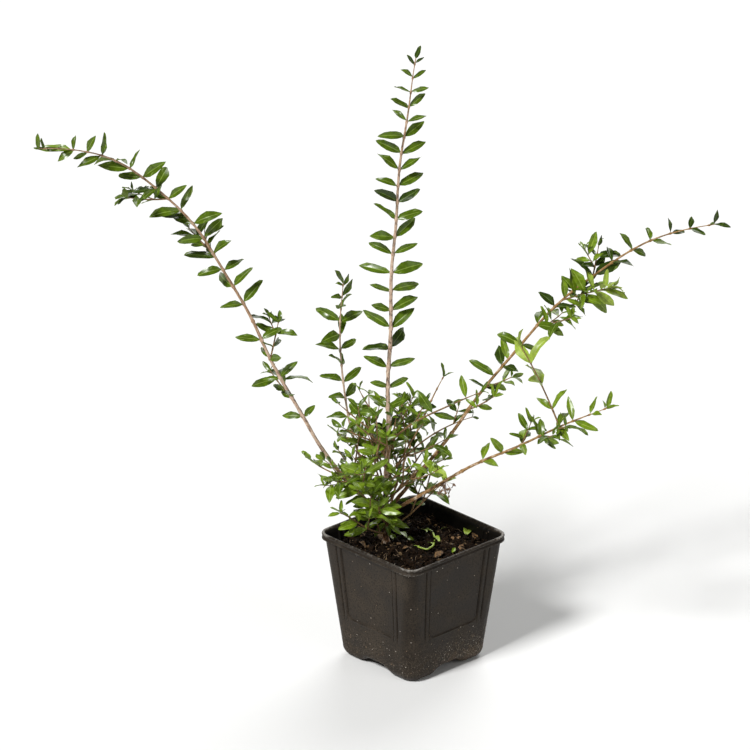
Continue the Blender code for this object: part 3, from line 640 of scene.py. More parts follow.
def thread(points: Array, radii: Array, sides: int) -> tuple[Array, list[Array]]:
    """A closed thin tube along points, with its ends drawn to poles.

    Args:
        points: the line, (n, 3).
        radii: its radius at each point.
        sides: how many sides it has.

    Returns:
        Points and faces.
    """
    ahead = unit(np.gradient(points, axis=0))
    level = unit(np.cross(ahead, np.where(np.abs(ahead[:, 2:]) > 0.9, [[1.0, 0, 0]], [[0, 0, 1.0]])))
    ring = spokes(level, np.cross(ahead, level), 2 * np.pi * np.arange(sides) / sides)
    rings = points[:, None] + radii[:, None, None] * ring
    first, last = points[0] - ahead[0] * radii[0], points[-1] + ahead[-1] * radii[-1]
    return with_poles(rings, first, last), closed_grid(len(points), sides)


def turned_about(axis: int, angle: Array) -> Array:
    """Matrices that turn about one axis.

    Args:
        axis: 0, 1 or 2 for X, Y or Z.
        angle: the turns in radians, (n,).

    Returns:
        Matrices, (n, 3, 3).
    """
    first, second = (axis + 1) % 3, (axis + 2) % 3
    turn = np.tile(np.eye(3), (len(angle), 1, 1))
    turn[:, first, first] = turn[:, second, second] = np.cos(angle)
    turn[:, second, first] = np.sin(angle)
    turn[:, first, second] = -turn[:, second, first]
    return turn


# Pot and soil

@dataclass(frozen=True)
class Pot:
    """The square tapered pot, a thin wall with a rolled lip, set back panels and corner feet."""

    tall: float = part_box("pot")[1].z
    corner: float = 0.009
    lip_tall: float = 0.0045
    lip_proud: float = 0.0018
    bead: float = 0.0011  # radius of the bead along the lip's top
    # the flange's third column is wear with painted highlight, strongest on its lower edge
    flange: tuple[Triple, ...] = (
        (0.55, 0.0, 0.0), (0.95, 0.0002, 0.5), (1.0, 0.0006, 0.6), (0.93, 0.0011, 0.25), (0.74, 0.0017, 0.0),
        (0.62, 0.0021, 0.0), (0.66, 0.0023, 0.0))  # the lip under it: way out over lip_proud, height, and wear with painted highlight
    foot_half: float = 0.0351
    foot_corner: float = 0.011
    wall: float = 0.0012
    edge: float = 0.0075  # radius of the rounding along the foot
    foot_edge: float = 0.004  # corner radius of the underside
    arch_tall: float = 0.0045
    arch_flat: float = 0.0060  # distance from the side's middle up to which the arch is level
    arch_wide: float = 0.0166  # the same for its end
    arch_part: float = 0.3  # how much of the arch's rise the wall over the rounding shares
    panel_deep: float = 0.0006
    panel_half: float = 0.570  # share of the side's half width at which the panel ends
    line_half: float = 0.665  # the same for the second line, nearer to the corner
    panel_low: float = 0.0305
    panel_round: float = 0.0045
    rib: float = 0.00030  # height of the fine rib along the panel's foot
    rib_wide: float = 0.00045
    groove_deep: float = 0.00100
    groove_wide: float = 0.00046
    wave: float = 0.00014  # how far the side waves, as thin moulded plastic does
    wave_tall: float = 0.02
    turn: float = 45.0
    arc_steps: int = 14
    plain: tuple[float, float, int] = (-0.50, 0.50, 31)  # columns of a side: first and last share, and count
    close: tuple[tuple[float, float, int], ...] = ((0.525, 0.600, 12), (0.635, 0.695, 9))  # over the two lines

    @property
    def half(self) -> float:
        """Half the width across the lip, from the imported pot's reach along +X at its corner."""
        return (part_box("pot")[1].x - self.corner) / np.sqrt(2) + self.corner

    def wall_half(self, height: Array) -> Array:
        """Half the width of the wall's outer face at a height."""
        return self.foot_half + (self.half - self.lip_proud - self.foot_half) * height / self.tall

    def wall_corner(self, height: Array) -> Array:
        """The corner radius of the wall at a height."""
        return self.foot_corner + (self.corner - self.lip_proud - self.foot_corner) * height / self.tall

    def columns(self) -> tuple[Array, Array, Array, Array]:
        """The columns of the rounded square, four corner arcs and four sides.

        A column stands at half * square + radius * arc, and out is the way out from it. On a side, square is the
        side's middle plus its share along the side; in an arc it is the corner, and arc is out less the corner.

        Returns:
            square, arc, out and the share along the side, which is 1 in the arcs.
        """
        fine = np.concatenate([np.linspace(*part) for part in self.close])
        side = np.concatenate([-fine[::-1], np.linspace(*self.plain), fine])
        square, arc, out, along = [], [], [], []
        for start in np.pi / 2 * np.arange(4):
            corner = np.sqrt(2) * circle(start + np.pi / 4)
            ways = circle(start + np.pi / 2 * np.arange(self.arc_steps + 1) / self.arc_steps)
            normal = circle(start + np.pi / 2)
            tangent = np.array([-normal[1], normal[0]])
            square += [np.tile(corner, (len(ways), 1)), normal + column(side) * tangent]
            arc += [ways - corner, np.zeros((len(side), 2))]
            out += [ways, np.tile(normal, (len(side), 1))]
            along += [np.ones(len(ways)), side]
        return tuple(np.concatenate(part) for part in (square, arc, out, along))

    def relief(self, height: Array, along: Array) -> Array:
        """How far each place of the wall stands out.

        The panel is a rectangle with rounded lower corners, set back by panel_deep. A groove runs up each of its
        sides, and a second one nearer to the corner, each a bell curve across. The side also waves a little.

        Args:
            height: heights, (rows, 1).
            along: shares along the side, (1, columns).

        Returns:
            The relief, (rows, columns).
        """
        half = self.wall_half(height)
        place = np.abs(along) * half
        inner = self.panel_half * half - self.panel_round
        low = self.panel_low + self.panel_round
        gap = np.hypot(np.maximum(place - inner, 0), np.maximum(low - height, 0)) - self.panel_round
        upright = ease(height, self.panel_low - 0.003, self.panel_low + 0.004)
        first, second = (np.exp(-((place - line * half) / self.groove_wide) ** 2)
                         for line in (self.panel_half, self.line_half))
        grooves = (0.8 * first + second) * self.groove_deep * upright
        rib = self.rib * np.exp(-((height - self.panel_low) / self.rib_wide) ** 2) * (place < inner)
        wave = self.wave * lattice(along * 3 + 7, height / self.wave_tall, 5)
        return (wave - grooves + rib - ease(-gap, -0.0001, 0.0003) * self.panel_deep) * (np.abs(along) < 0.9)

    def rows(self) -> Array:
        """The rings from the middle of the underside, up the outside, over the lip and down to the floor.

        Returns:
            Half width, corner radius, height, share of the relief, share of the arches' rise, and wear with
            painted highlight on the lip, which is -1 on the inner wall where it paints shade, one row a ring.
        """
        swing = np.radians(np.linspace(90, 0, 10))
        edge_half = self.wall_half(self.edge) - self.edge * (1 - np.cos(swing))
        edge_corner = np.maximum(self.wall_corner(self.edge) - self.edge * (1 - np.cos(swing)), self.foot_edge)
        under = np.linspace(0.15, 0.95, 9)
        outer = np.concatenate([np.linspace(self.edge + 0.001, self.panel_low - 0.0015, 16),
                                np.linspace(self.panel_low - 0.0009, self.panel_low + 0.0057, 20),
                                np.linspace(self.panel_low + 0.0070, self.tall - self.lip_tall, 30)])
        inner = np.linspace(self.tall - 0.0024, self.edge + 0.002, 42)
        floor = (self.foot_half - self.wall - self.edge * 0.6) * np.array([1.0, 0.75, 0.4])
        return np.concatenate([
            rows_of(under * edge_half[0], self.foot_edge * under, 0, 0, ease(under, 0.62, 0.82), 0),
            rows_of(edge_half, edge_corner, self.edge * (1 - np.sin(swing)), 0,
                    between((self.arch_part, 1), np.sin(swing)), 0),
            rows_of(self.wall_half(outer), self.wall_corner(outer), outer, 1,
                    self.arch_part * (1 - ease(outer, self.edge, self.edge + 0.008)), 0),
            self.lip_rows(),
            rows_of(self.wall_half(inner) - self.wall, self.wall_corner(inner) - self.wall, inner, 0.9, 0, -1),
            rows_of(floor, self.foot_edge, self.wall, 0, 1, -1)])

    def lip_rows(self) -> Array:
        """The rolled lip: a flange whose lower edge stands out, a groove, and a half round bead on top.

        Returns:
            Rows like those of the other rings.
        """
        angle = np.radians(np.linspace(-42, 180, 14))
        flange = np.array(self.flange) * (self.lip_proud, 1, 1) + (0, self.tall - self.lip_tall, 0)
        # the bead paints wear and highlight most on its top
        bead = rows_of(self.lip_proud - self.bead + self.bead * np.cos(angle),
                       self.tall - self.bead * (1 - np.sin(angle)), 0.25 + 0.75 * np.sin(np.maximum(angle, 0)))
        out, height, wear = np.vstack([flange, bead]).T
        out = out - self.lip_proud
        return rows_of(self.half + out, self.corner + out, height, 0, 0, wear)

    def rings(self) -> tuple[Array, Array]:
        """All points of the wall, and the wear and painted light of each.

        Returns:
            Points, (rows, columns, 3), and wear and painted light, (rows, columns).
        """
        square, arc, out, along = self.columns()
        half, corner, height, relief, lift, worn_and_painted_light = self.rows().T[:, :, None]
        stands = relief * self.relief(height, along[None])
        flat = half[..., None] * square + corner[..., None] * arc + stands[..., None] * out
        place = np.abs(along)[None] * half
        rise = lift * self.arch_tall * ease(place, self.arch_wide, self.arch_flat) * (np.abs(along) < 0.9)
        return risen(spun(flat, self.turn), height + rise), worn_and_painted_light * (0.36 + 0.64 * ease(np.abs(along), 0.80, 1.0))

    def make(self) -> None:
        """Build the pot and dress it."""
        rings, wear = self.rings()
        shape = Shape(crease=50.0)
        shape.add(with_poles(rings, (0, 0, 0), (0, 0, self.wall)), closed_grid(*wear.shape),
                  wear=np.append(wear.ravel(), (0.0, 0.0)))
        shape.tied("pot_shell", "pot_plastic", [PotPlastic().material()], "pot")


@dataclass(frozen=True)
class View:
    """The photograph's view of the plant: where the camera stands and what a pixel of the photograph spans."""

    azimuth: float = 1.69
    elevation: float = 23.5
    away: float = 5.3
    pixels: float = 1001.0  # photograph pixels to a metre at the view's middle distance
    middle: Pair = (247.9, 475.6)  # pixel of the view's middle
    centre: Triple = (0.0, 0.0, 0.2)  # the point at that pixel
    target: Triple = (-0.025, 0.0, 0.2)
    wide: float = 0.487  # width of the render at the target

    def axes(self) -> tuple[Array, Array, Array]:
        """Right, up and towards the camera, in the model's frame."""
        (c, s), (level, rise) = circle(np.radians(self.azimuth)), circle(np.radians(self.elevation))
        right, towards = np.array([c, s, 0.0]), np.array([s * level, -c * level, rise])
        return right, np.cross(towards, right), towards

    def seen_at(self, points: Array) -> Array:
        """Where points show.

        Args:
            points: the points, (n, 3).

        Returns:
            The photograph's pixels, (n, 2).
        """
        right, up, towards = self.axes()
        ray = points - self.centre - towards * self.away
        share = self.pixels * self.away / -(ray @ towards)
        return rows_of(self.middle[0] + share * (ray @ right), self.middle[1] - share * (ray @ up))

    def on_level(self, pixels: list[Pair], level: float) -> Array:
        """The points at one height that show at pixels of the photograph.

        Args:
            pixels: the pixels.
            level: the height.

        Returns:
            The points, (n, 3).
        """
        right, up, towards = self.axes()
        camera = self.centre + towards * self.away
        across, down = (np.array(pixels) - self.middle).T[..., None] / self.pixels
        seen = self.centre + right * across - up * down
        return seen + (camera - seen) * (level - seen[:, 2:]) / (camera[2] - seen[:, 2:])


VIEW = View()


@dataclass(frozen=True)
class Litter:
    """One kind of small loose thing on the soil."""

    name: str
    count: int
    sizes: Span
    finish: Union[Peat, Mottled]
    seed: int
    flat: float = 1.0  # thickness over the width
    reach: float = 0.93  # share of the inside's width that it keeps to


@dataclass(frozen=True)
class Compost:
    """The soil: a lumpy surface with crumbs, fibres and chips on it."""

    pot: Pot = Pot()
    level: float = 0.079
    inset: float = 0.00045  # gap between the soil and the wall
    bottom: float = 0.0062
    rows: int = 84
    columns: int = 240
    power: float = 7.0  # how square the soil is
    dip: float = 0.0028  # how deep its hollows are
    rim: float = 0.0012  # how far its edge lies below its level
    # The lumps of each size: how much they count, their size, where in the noise they start, and its seed
    waves: tuple[tuple[float, float, Pair, int], ...] = (
        (0.55, 0.0110, (40, 40), 3), (0.45, 0.0042, (60, 0), 4), (0.28, 0.0016, (60, 60), 6))
    spare: float = 0.0035  # clear ring of soil round the trunk
    rare: float = 2.2  # how much rarer large things are than small ones
    uneven: Span = (0.62, 1.25)  # reach of a crumb's corners over its size
    bulk: tuple[Span, ...] = ((0.7, 1.5), (0.6, 1.0), (0.7, 1.2))  # its length, width and height over its size
    tilt: float = 0.5  # spread of its tilt, in radians
    proud: float = 0.35  # how much of it stands over the soil
    bend: float = 1.6  # greatest bend of a fibre, in radians
    arch: float = 0.14  # greatest rise of its middle over its length
    radii: Span = (0.00012, 0.00030)  # its radius
    trunk: Pair = (-0.018, 0.004)
    loose: tuple[Litter, ...] = (
        Litter("soil_crumbs_dark", 1150, (0.0008, 0.0027), Peat("crumb_dark"), 31, 0.8, 0.965),
        Litter("soil_crumbs_brown", 420, (0.0004, 0.0015), Peat(
            "crumb_brown", (0.026, 0.016, 0.008), (0.200, 0.135, 0.072), 1200.0), 37, 0.8, 0.965),
        Litter("bark_chips", 44, (0.0012, 0.0036), Mottled(
            "chip_brown", (0.26, 0.145, 0.055), (0.070, 0.034, 0.014)), 41, 0.35, 0.92),
        Litter("pale_grit", 30, (0.0004, 0.0011), Mottled(
            "grit_pale", (0.62, 0.56, 0.46), (0.30, 0.25, 0.19)), 43, 0.6))
    fibres: Litter = Litter("peat_fibres", 240, (0.0022, 0.0100), Mottled(
        "fibre_brown", (0.26, 0.18, 0.105), (0.06, 0.034, 0.017)), 47)

    def height(self, place: Array) -> Array:
        """The surface's height under each place: lumps of three sizes, calm round the trunk.

        Args:
            place: points, whose first two parts are read.

        Returns:
            Their heights.
        """
        x, y = place[..., 0], place[..., 1]
        lumps = sum(share * lattice(x / size + start[0], y / size + start[1], seed)
                    for share, size, start, seed in self.waves)
        away = np.hypot(x - self.trunk[0], y - self.trunk[1])
        return self.level + self.dip * (lumps * ease(away, 0.002, 0.010) - 0.35)

    def half_at(self, height: float) -> float:
        """Half the width of the soil at a height."""
        pot = self.pot
        return pot.wall_half(height) - pot.wall - self.inset - pot.panel_deep * (height > pot.panel_low)

    def ring(self, share: Array, height: float) -> Array:
        """Rounded squares inside the pot.

        A column stands on the superellipse |x|^power + |y|^power = 1, turned corner forward like the pot.

        Args:
            share: the squares' sizes as shares of the inside, (rows,).
            height: the height at which the inside is measured.

        Returns:
            Flat places, (rows, columns, 2).
        """
        angle = np.linspace(0, 2 * np.pi, self.columns, endpoint=False)
        reach = np.sum(np.abs(circle(angle)) ** self.power, axis=1) ** (-1 / self.power)
        way = circle(angle + np.radians(self.pot.turn))
        return share[:, None, None] * self.half_at(height) * reach[None, :, None] * way[None]

    def surface(self) -> None:
        """Build the soil's body: bottom, sides and the lumpy top."""
        sides = np.linspace(self.bottom, self.level - 0.0015, 8)
        flat = [self.ring(np.array([0.93]), self.bottom + 0.004)]
        flat += [self.ring(np.array([1.0]), max(height, self.pot.edge + 0.004)) for height in sides[1:]]
        share = np.linspace(0.995, 0.02, self.rows)
        top = self.ring(share, self.level)
        rim = ease(share, 1.0, 0.95)[:, None]
        height = self.height(top) * rim + (self.level - self.rim) * (1 - rim)
        rings = np.concatenate([risen(np.concatenate(flat), column(sides)), risen(top, height)])
        shape = Shape()
        shape.add(with_poles(rings, (0, 0, self.bottom), (0, 0, self.height(np.zeros(2)))),
                  closed_grid(len(rings), self.columns))
        shape.tied("compost", "soil", [Peat("compost").material()], "soil")

    def scattered(self, litter: Litter) -> tuple[Array, Array, np.random.Generator]:
        """Random places on the soil for one kind of litter.

        Args:
            litter: the kind.

        Returns:
            Places on the surface, the sizes there, and the generator for what else is random.
        """
        rng = np.random.default_rng(litter.seed)
        half = self.half_at(self.level) * litter.reach
        flat = spun(rng.uniform(-half, half, (litter.count * 2, 2)), self.pot.turn)
        flat = flat[np.hypot(*(flat - self.trunk).T) > self.spare][:litter.count]
        size = between(litter.sizes, rng.random(len(flat)) ** self.rare)
        return risen(flat, self.height(flat)), size, rng

    def lumps(self, litter: Litter) -> None:
        """Make crumbs, chips or grit: uneven balls of a few sides, squashed and turned at random.

        Args:
            litter: the kind.
        """
        place, size, rng = self.scattered(litter)
        count, rows, sides = len(place), 3, 6
        lean = np.pi * (np.arange(rows) + 1) / (rows + 1)
        turn = 2 * np.pi * np.arange(sides) / sides
        ring = np.sin(lean)[:, None, None] * circle(turn)[None]
        ball = with_poles(risen(ring, column(-np.cos(lean))), (0, 0, -1), (0, 0, 1))
        bodies = ball[None] * rng.uniform(*self.uneven, (count, len(ball), 1))
        bulk = rows_of(*(rng.uniform(*ends, count) for ends in self.bulk)) * (1, 1, litter.flat)
        bodies = bodies * bulk[:, None]
        heading, tip, roll = rng.uniform(0, 2 * np.pi, count), *rng.normal(0, self.tilt, (2, count))
        turns = turned_about(2, heading) @ turned_about(0, tip) @ turned_about(1, roll)
        bodies = np.einsum("nij,nkj->nki", turns, bodies) * size[:, None, None] + place[:, None]
        bodies[..., 2] += self.proud * litter.flat * column(size)
        shape = Shape(crease=40.0)
        shape.add(bodies.reshape(-1, 3), repeated(closed_grid(rows, sides), len(ball), count))
        shape.tied(litter.name, "soil", [litter.finish.material()], "soil")

    def strands(self) -> None:
        """Make the fibres: thin three-sided threads, each a shallow arc on the soil."""
        place, size, rng = self.scattered(self.fibres)
        shape = Shape()
        share = np.linspace(-0.5, 0.5, 7)
        for at, length in zip(place, size):
            heading, bend = rng.uniform(0, 2 * np.pi), rng.uniform(-self.bend, self.bend)
            steps = circle(heading + bend * share) * length / (len(share) - 1)
            flat = at[:2] + np.cumsum(steps, axis=0) - steps.sum(axis=0) / 2
            inside = np.abs(flat @ np.array([[1, 1], [1, -1]]) / np.sqrt(2)).max() < self.half_at(self.level)
            if not inside or np.hypot(*(flat - self.trunk).T).min() < self.spare:
                continue
            arch = rng.uniform(0, self.arch) * length * (1 - (2 * share) ** 2)
            points = risen(flat, self.height(flat) + 0.0002 + arch)
            radius = rng.uniform(*self.radii) * (1.05 - (2 * share) ** 2 * 0.6)
            shape.add(*thread(points, radius, 3))
        shape.tied(self.fibres.name, "soil", [self.fibres.finish.material()], "soil")

    def make(self) -> None:
        """Build the soil and what lies on it."""
        self.surface()
        for litter in self.loose:
            self.lumps(litter)
        self.strands()


# Shrub

STEPS = 64  # steps along every woody line
SWAY = 2.5  # how far a stem's lean sways, in degrees
SWAY_LENGTH = 0.075  # length of one sway
LIGHT = np.array([0.0, -0.45, 0.89])  # leaves turn their upper sides this way
FACING = 0.55  # how much of a leaf's upper side is set by that, over the way of the shoot
LIFT = 24.0  # how far the leaves of a level shoot turn up, in degrees
SOIL_LEVEL = Compost.level
GAP = 0.0003  # between the soil and the trunk's line
CLEAR = 0.0006  # between a twig's bark and another's
DRAWN_IN = 0.22  # how much closer the leaf pairs stand towards the tip
LAST_PAIR = 0.985  # share of the leafy length at which the last of them sits
JOG = 0.0008  # how far a leaf of a pair may sit up or down its stem


class Tone(Enum):
    """How a spray's leaves are tinted."""

    DEEP = 0
    GREEN = 1
    FRESH = 2
    YOUNG = 3


SKINS = {
    Tone.DEEP: LeafSkin("deep", (0.030, 0.058, 0.003), (0.110, 0.175, 0.026), (0.115, 0.170, 0.026), 0.17),
    Tone.GREEN: LeafSkin("green", (0.080, 0.138, 0.005), (0.210, 0.300, 0.042), (0.155, 0.225, 0.032), 0.19),
    Tone.FRESH: LeafSkin("fresh", (0.155, 0.245, 0.010), (0.300, 0.400, 0.060), (0.200, 0.285, 0.042), 0.22),
    Tone.YOUNG: LeafSkin("young", (0.300, 0.410, 0.045), (0.400, 0.500, 0.090), (0.330, 0.420, 0.075), 0.28),
}


@dataclass(frozen=True)
class Shoot:
    """A woody line and the leaves on it."""

    name: str
    carrier: str = "upright"  # the shoot that it grows from
    at: float = 0.0  # how far along its carrier it leaves
    heading: float = 0.0  # its way in plan: 0 is +X, 90 is +Y
    turn: float = 0.0  # how far that way turns by the tip
    leans: Triple = (0.0, 0.0, 0.0)  # lean at the foot, the middle and the tip
    length: float = 0.05
    thick: float = 0.002  # diameter at the foot
    thin: float = 0.0011  # diameter at the tip
    bare: float = 0.0  # share of the length that is a bough
    start: float = 0.1  # share of the length at which leaves start
    sparse: float = 1.0  # share of the pairs that are there at the start
    pitch: float = 0.010  # distance between leaf pairs
    leaf: float = 0.014  # length of a leaf
    roll: float = 45.0  # turn of the pairs about the stem
    spread: float = 40.0  # turn from one pair to the next, each way
    twigs: int = 0  # side twigs that its solid has too
    twig: float = 0.02  # length of a side twig
    seed: int = 1
    angle: float = 60.0  # angle of a leaf to its stem
    fine: int = 0  # finer twigs, over those of the solids
    young: float = 0.0  # share of a shoot's pairs, from its tip, that are young
    full: float = 1.0  # share of the pairs that are there at all
    tones: tuple[Tone, ...] = (Tone.DEEP, Tone.GREEN, Tone.GREEN)
    brown: bool = False  # its bark is orange-brown, not pinkish


MIXED = (Tone.GREEN, Tone.DEEP, Tone.FRESH)
PALE = (Tone.FRESH, Tone.GREEN, Tone.FRESH)

MAIN_SHOOTS = (
    Shoot("upright", "", 0.0, 0, 21, (2, 2, 11), 0.339, 0.0046, 0.0013, bare=0.22, start=0.24, pitch=0.0115,
          leaf=0.0184, roll=90, spread=16, seed=3, tones=MIXED),
    Shoot("left", at=0.015, heading=165, turn=47, leans=(52, 26, 85), length=0.375, thick=0.0036, thin=0.0012,
          bare=0.21, start=0.24, sparse=0.50, pitch=0.0125, leaf=0.0182, roll=75, spread=26, twigs=4,
          twig=0.026, seed=11, angle=62),
    Shoot("right_high", at=0.021, heading=20, turn=-11, leans=(46, 42, 86), length=0.295, thick=0.0033,
          thin=0.0012, bare=0.20, start=0.23, sparse=0.2, pitch=0.0150, leaf=0.0170, roll=60, spread=38,
          twigs=6, twig=0.024, seed=23, tones=MIXED + PALE, brown=True),
    Shoot("right_low", at=0.018, heading=-28, turn=14, leans=(47, 57, 60), length=0.186, thick=0.0032,
          thin=0.0012, bare=0.36, start=0.38, sparse=0.5, pitch=0.0125, leaf=0.0165, roll=60, spread=38,
          twigs=3, seed=31, fine=2, tones=MIXED + PALE, brown=True),
    Shoot("back", at=0.026, heading=130, turn=3, leans=(59, 13, -6), length=0.159, thick=0.0022, bare=0.30,
          start=0.33, pitch=0.0095, leaf=0.0178, roll=14, spread=24, seed=43),
    Shoot("back_low", at=0.012, heading=80, turn=-18, leans=(58, 62, 58), length=0.125, thick=0.0022, bare=0.22,
          start=0.26, leaf=0.0150, roll=35, twigs=3, seed=53, full=0.62, brown=True),
    Shoot("side_upper", at=0.070, heading=-30, leans=(42, 54, 62), length=0.089, thick=0.0017, start=0.12,
          pitch=0.0125, leaf=0.0145, roll=50, seed=61, fine=2, tones=MIXED),
    Shoot("side_lower", at=0.044, heading=28, turn=-8, leans=(44, 58, 84), length=0.072, thick=0.0016,
          thin=0.0010, start=0.14, pitch=0.0120, leaf=0.0145, roll=50, seed=67, fine=2, tones=MIXED),
    Shoot("right_low_side", "right_low", at=0.150, heading=150, leans=(22, 32, 38), length=0.058,
          thick=0.0015, thin=0.0010, start=0.2, pitch=0.0105, leaf=0.0195, roll=60, spread=35, seed=71,
          angle=34, young=0.85, tones=(Tone.FRESH,), brown=True),
    Shoot("rosette", at=0.014, heading=248, turn=20, leans=(62, 46, 30), length=0.028, thick=0.0018,
          thin=0.0012, start=0.26, pitch=0.0040, leaf=0.0155, roll=15, spread=42, seed=79, fine=2,
          tones=(Tone.FRESH, Tone.FRESH)),
)

# The knot of pale leaves on the high right shoot, grown last so that the other leaves keep their places
KNOT = Shoot(
    "knot", "right_high", at=0.182, heading=-4, leans=(66, 74, 80), length=0.034, thick=0.0014, thin=0.0009,
    start=0.08, pitch=0.0028, leaf=0.0180, roll=28, spread=48, seed=84, angle=56, young=0.50,
    tones=(Tone.FRESH, Tone.FRESH))


@dataclass(frozen=True)
class Mark:
    """Where a leaf shows in the photograph: the pixels of its foot and its tip, and its tone."""

    foot: Pair
    tip: Pair
    tone: Tone = Tone.FRESH


# The leaves that stand out in the photograph, by their shoots
MARKED = {
    "left": (Mark((24, 328), (3, 325.5)), Mark((82, 352), (65, 352), Tone.DEEP),
             Mark((100, 371), (82, 368), Tone.DEEP), Mark((118, 397), (97, 393), Tone.DEEP)),
    "right_low": (Mark((271, 546), (255, 531.5), Tone.YOUNG),),
    "right_high": (Mark((301, 474), (285, 462), Tone.GREEN), Mark((309, 466), (305, 450))),
    "rosette": (Mark((230, 566), (214, 560)), Mark((229, 568), (216, 574.5)), Mark((230, 570), (222, 579.5)),
                Mark((230, 571), (233.5, 581), Tone.GREEN), Mark((230.5, 571), (241.5, 578.5)),
                Mark((231, 570), (247, 572)), Mark((227, 564), (213, 553)),
                Mark((231, 566), (246, 561.5), Tone.GREEN)),
}


@dataclass(frozen=True)
class Tufts:
    """Short leafy shoots round the foot: the lowest spread wide, the highest stand up."""

    kind: Shoot = Shoot("tuft", thick=0.0017, thin=0.0010, start=0.13, pitch=0.0078, leaf=0.0165, spread=42,
                        twigs=3, twig=0.030)
    count: int = 14
    first: float = 215.0  # heading of the first
    golden: float = 137.5  # turn from one to the next
    lengths: Pair = (0.044, 0.066)  # of the lowest and the highest, as the two below
    leans: Pair = (66.0, 30.0)
    at: Pair = (0.006, 0.060)
    back: float = 0.012  # extra length of one that faces the back
    seed: int = 101
    turns: tuple[float, ...] = (0, 14, -14, 28, -28, 42, -42)
    rises: tuple[float, ...] = (0, 0.002, -0.002, 0.004, 0.006, 0.008)
    outside: float = 0.0018  # distance from the trunk's middle at which another stem has left it
    fine: int = 3  # finer twigs of one in the picture's middle, where the foot is fullest
    open_left: float = 0.12  # share of the pairs that one lacks at the left of the picture
    open_right: float = 0.46  # the same at its right
    high: float = 0.84  # the same for the highest
    short: float = 0.50  # how much shorter the highest is here than its solid

    def shoots(self) -> list[Shoot]:
        """The short shoots: their headings step round the trunk by the golden angle as they climb it.

        Returns:
            The shoots, from the lowest up.
        """
        rng = np.random.default_rng(self.seed)
        shoots = []
        for number in range(self.count):
            climb = number / (self.count - 1)
            heading = self.first + number * self.golden + rng.uniform(-9, 9)
            aside, behind = circle(np.radians(heading))
            lacks = self.open_right * max(aside, 0) + self.open_left * max(-aside, 0)
            lean = between(self.leans, climb)
            length = between(self.lengths, climb) + self.back * (1 + behind) / 2
            shoots.append(replace(
                self.kind, name="tuft_%d" % number, at=between(self.at, climb), heading=heading,
                turn=rng.uniform(-25, 25), leans=(lean + 8, lean * 0.75, lean * 0.75 + rng.uniform(-12, 20)),
                length=length * (1 - self.short * climb), roll=30 + rng.uniform(0, 40), seed=self.seed + number,
                fine=round(self.fine * (1 - abs(aside)) * (1 - self.high * climb)),
                full=(1 - lacks) * (1 - self.high * climb), tones=PALE + (Tone.GREEN,) * (number % 2)))
        return shoots


class Line:
    """The course of a shoot: an evenly turning heading, and a lean that passes through three values.

    The lean is foot (1-s)(1-2s) + middle 4s(1-s) + tip s(2s-1) at a share s of the length, and it sways by a
    sine about that. The points add up short steps along the tangent.
    """

    def __init__(self, shoot: Shoot, start: Array) -> None:
        """Work out the points.

        Args:
            shoot: what grows.
            start: the point that it grows from.
        """
        self.shoot = shoot
        middles = (np.arange(STEPS) + 0.5) / STEPS
        steps = self.tangent(middles) * shoot.length / STEPS
        self.points = np.vstack([start, start + np.cumsum(steps, axis=0)])

    def tangent(self, share: Array) -> Array:
        """The way forward.

        Args:
            share: shares of the length, (n,).

        Returns:
            Vectors of length one, (n, 3).
        """
        foot, middle, tip = self.shoot.leans
        lean = foot * (1 - share) * (1 - 2 * share) + middle * 4 * share * (1 - share)
        lean = lean + tip * share * (2 * share - 1)
        waves = self.shoot.length / SWAY_LENGTH
        lean = np.radians(lean + SWAY * np.sin(2 * np.pi * waves * share + self.shoot.seed))
        return risen(column(np.sin(lean)) * self.heading(share), np.cos(lean))

    def heading(self, share: Array) -> Array:
        """The way in plan, (n, 2)."""
        return circle(np.radians(self.shoot.heading + self.shoot.turn * share))

    def level(self, share: Array) -> Array:
        """The level way square to the stem."""
        return risen(self.heading(share)[:, ::-1] * (1, -1), 0)

    def point(self, share: Array) -> Array:
        """The points on the line at each share of the length."""
        at = np.linspace(0, 1, STEPS + 1)
        return rows_of(*(np.interp(share, at, part) for part in self.points.T))

    def radius(self, share: Array) -> Array:
        """Half the thickness at each share of the length, drawn in faster near the foot."""
        return between((self.shoot.thick, self.shoot.thin), share ** 0.8) / 2

    def spots(self, apart: float) -> Array:
        """Points along the line, about apart from each other."""
        return self.point(np.linspace(0, 1, max(4, round(self.shoot.length / apart))))

    def pairs(self) -> tuple[Array, Array]:
        """Shares of the length at which leaf pairs sit, closer to the tip, and their even count from 0 to 1."""
        usable = 1 - self.shoot.start
        count = max(3, round(usable * self.shoot.length / self.shoot.pitch))
        even = np.arange(count) / (count - 1)
        return self.shoot.start + usable * LAST_PAIR * (even + DRAWN_IN * even * (1 - even)), even

    def swollen(self, share: Array, wide: float) -> Array:
        """How far each place is into the swelling at a leaf pair, exp(-(distance / wide)^2)."""
        away = (column(share) - self.pairs()[0]) * self.shoot.length
        return np.exp(-(away / wide) ** 2).max(axis=1)


@dataclass
class Leaves:
    """Leaves: foot, way out, upper side, length, form, number of the tone and number of the line of each.

    A form is curl, fold, twist and width factor.
    """

    foot: Array
    way: Array
    face: Array
    length: Array
    form: Array
    tone: Array
    line: Array

    def pick(self, wanted: Array) -> "Leaves":
        """The leaves that are wanted."""
        return Leaves(*(values[wanted] for values in vars(self).values()))

    @staticmethod
    def joined(parts: list["Leaves"]) -> "Leaves":
        """Several groups of leaves as one."""
        return Leaves(*(np.concatenate(values) for values in zip(*(vars(part).values() for part in parts))))


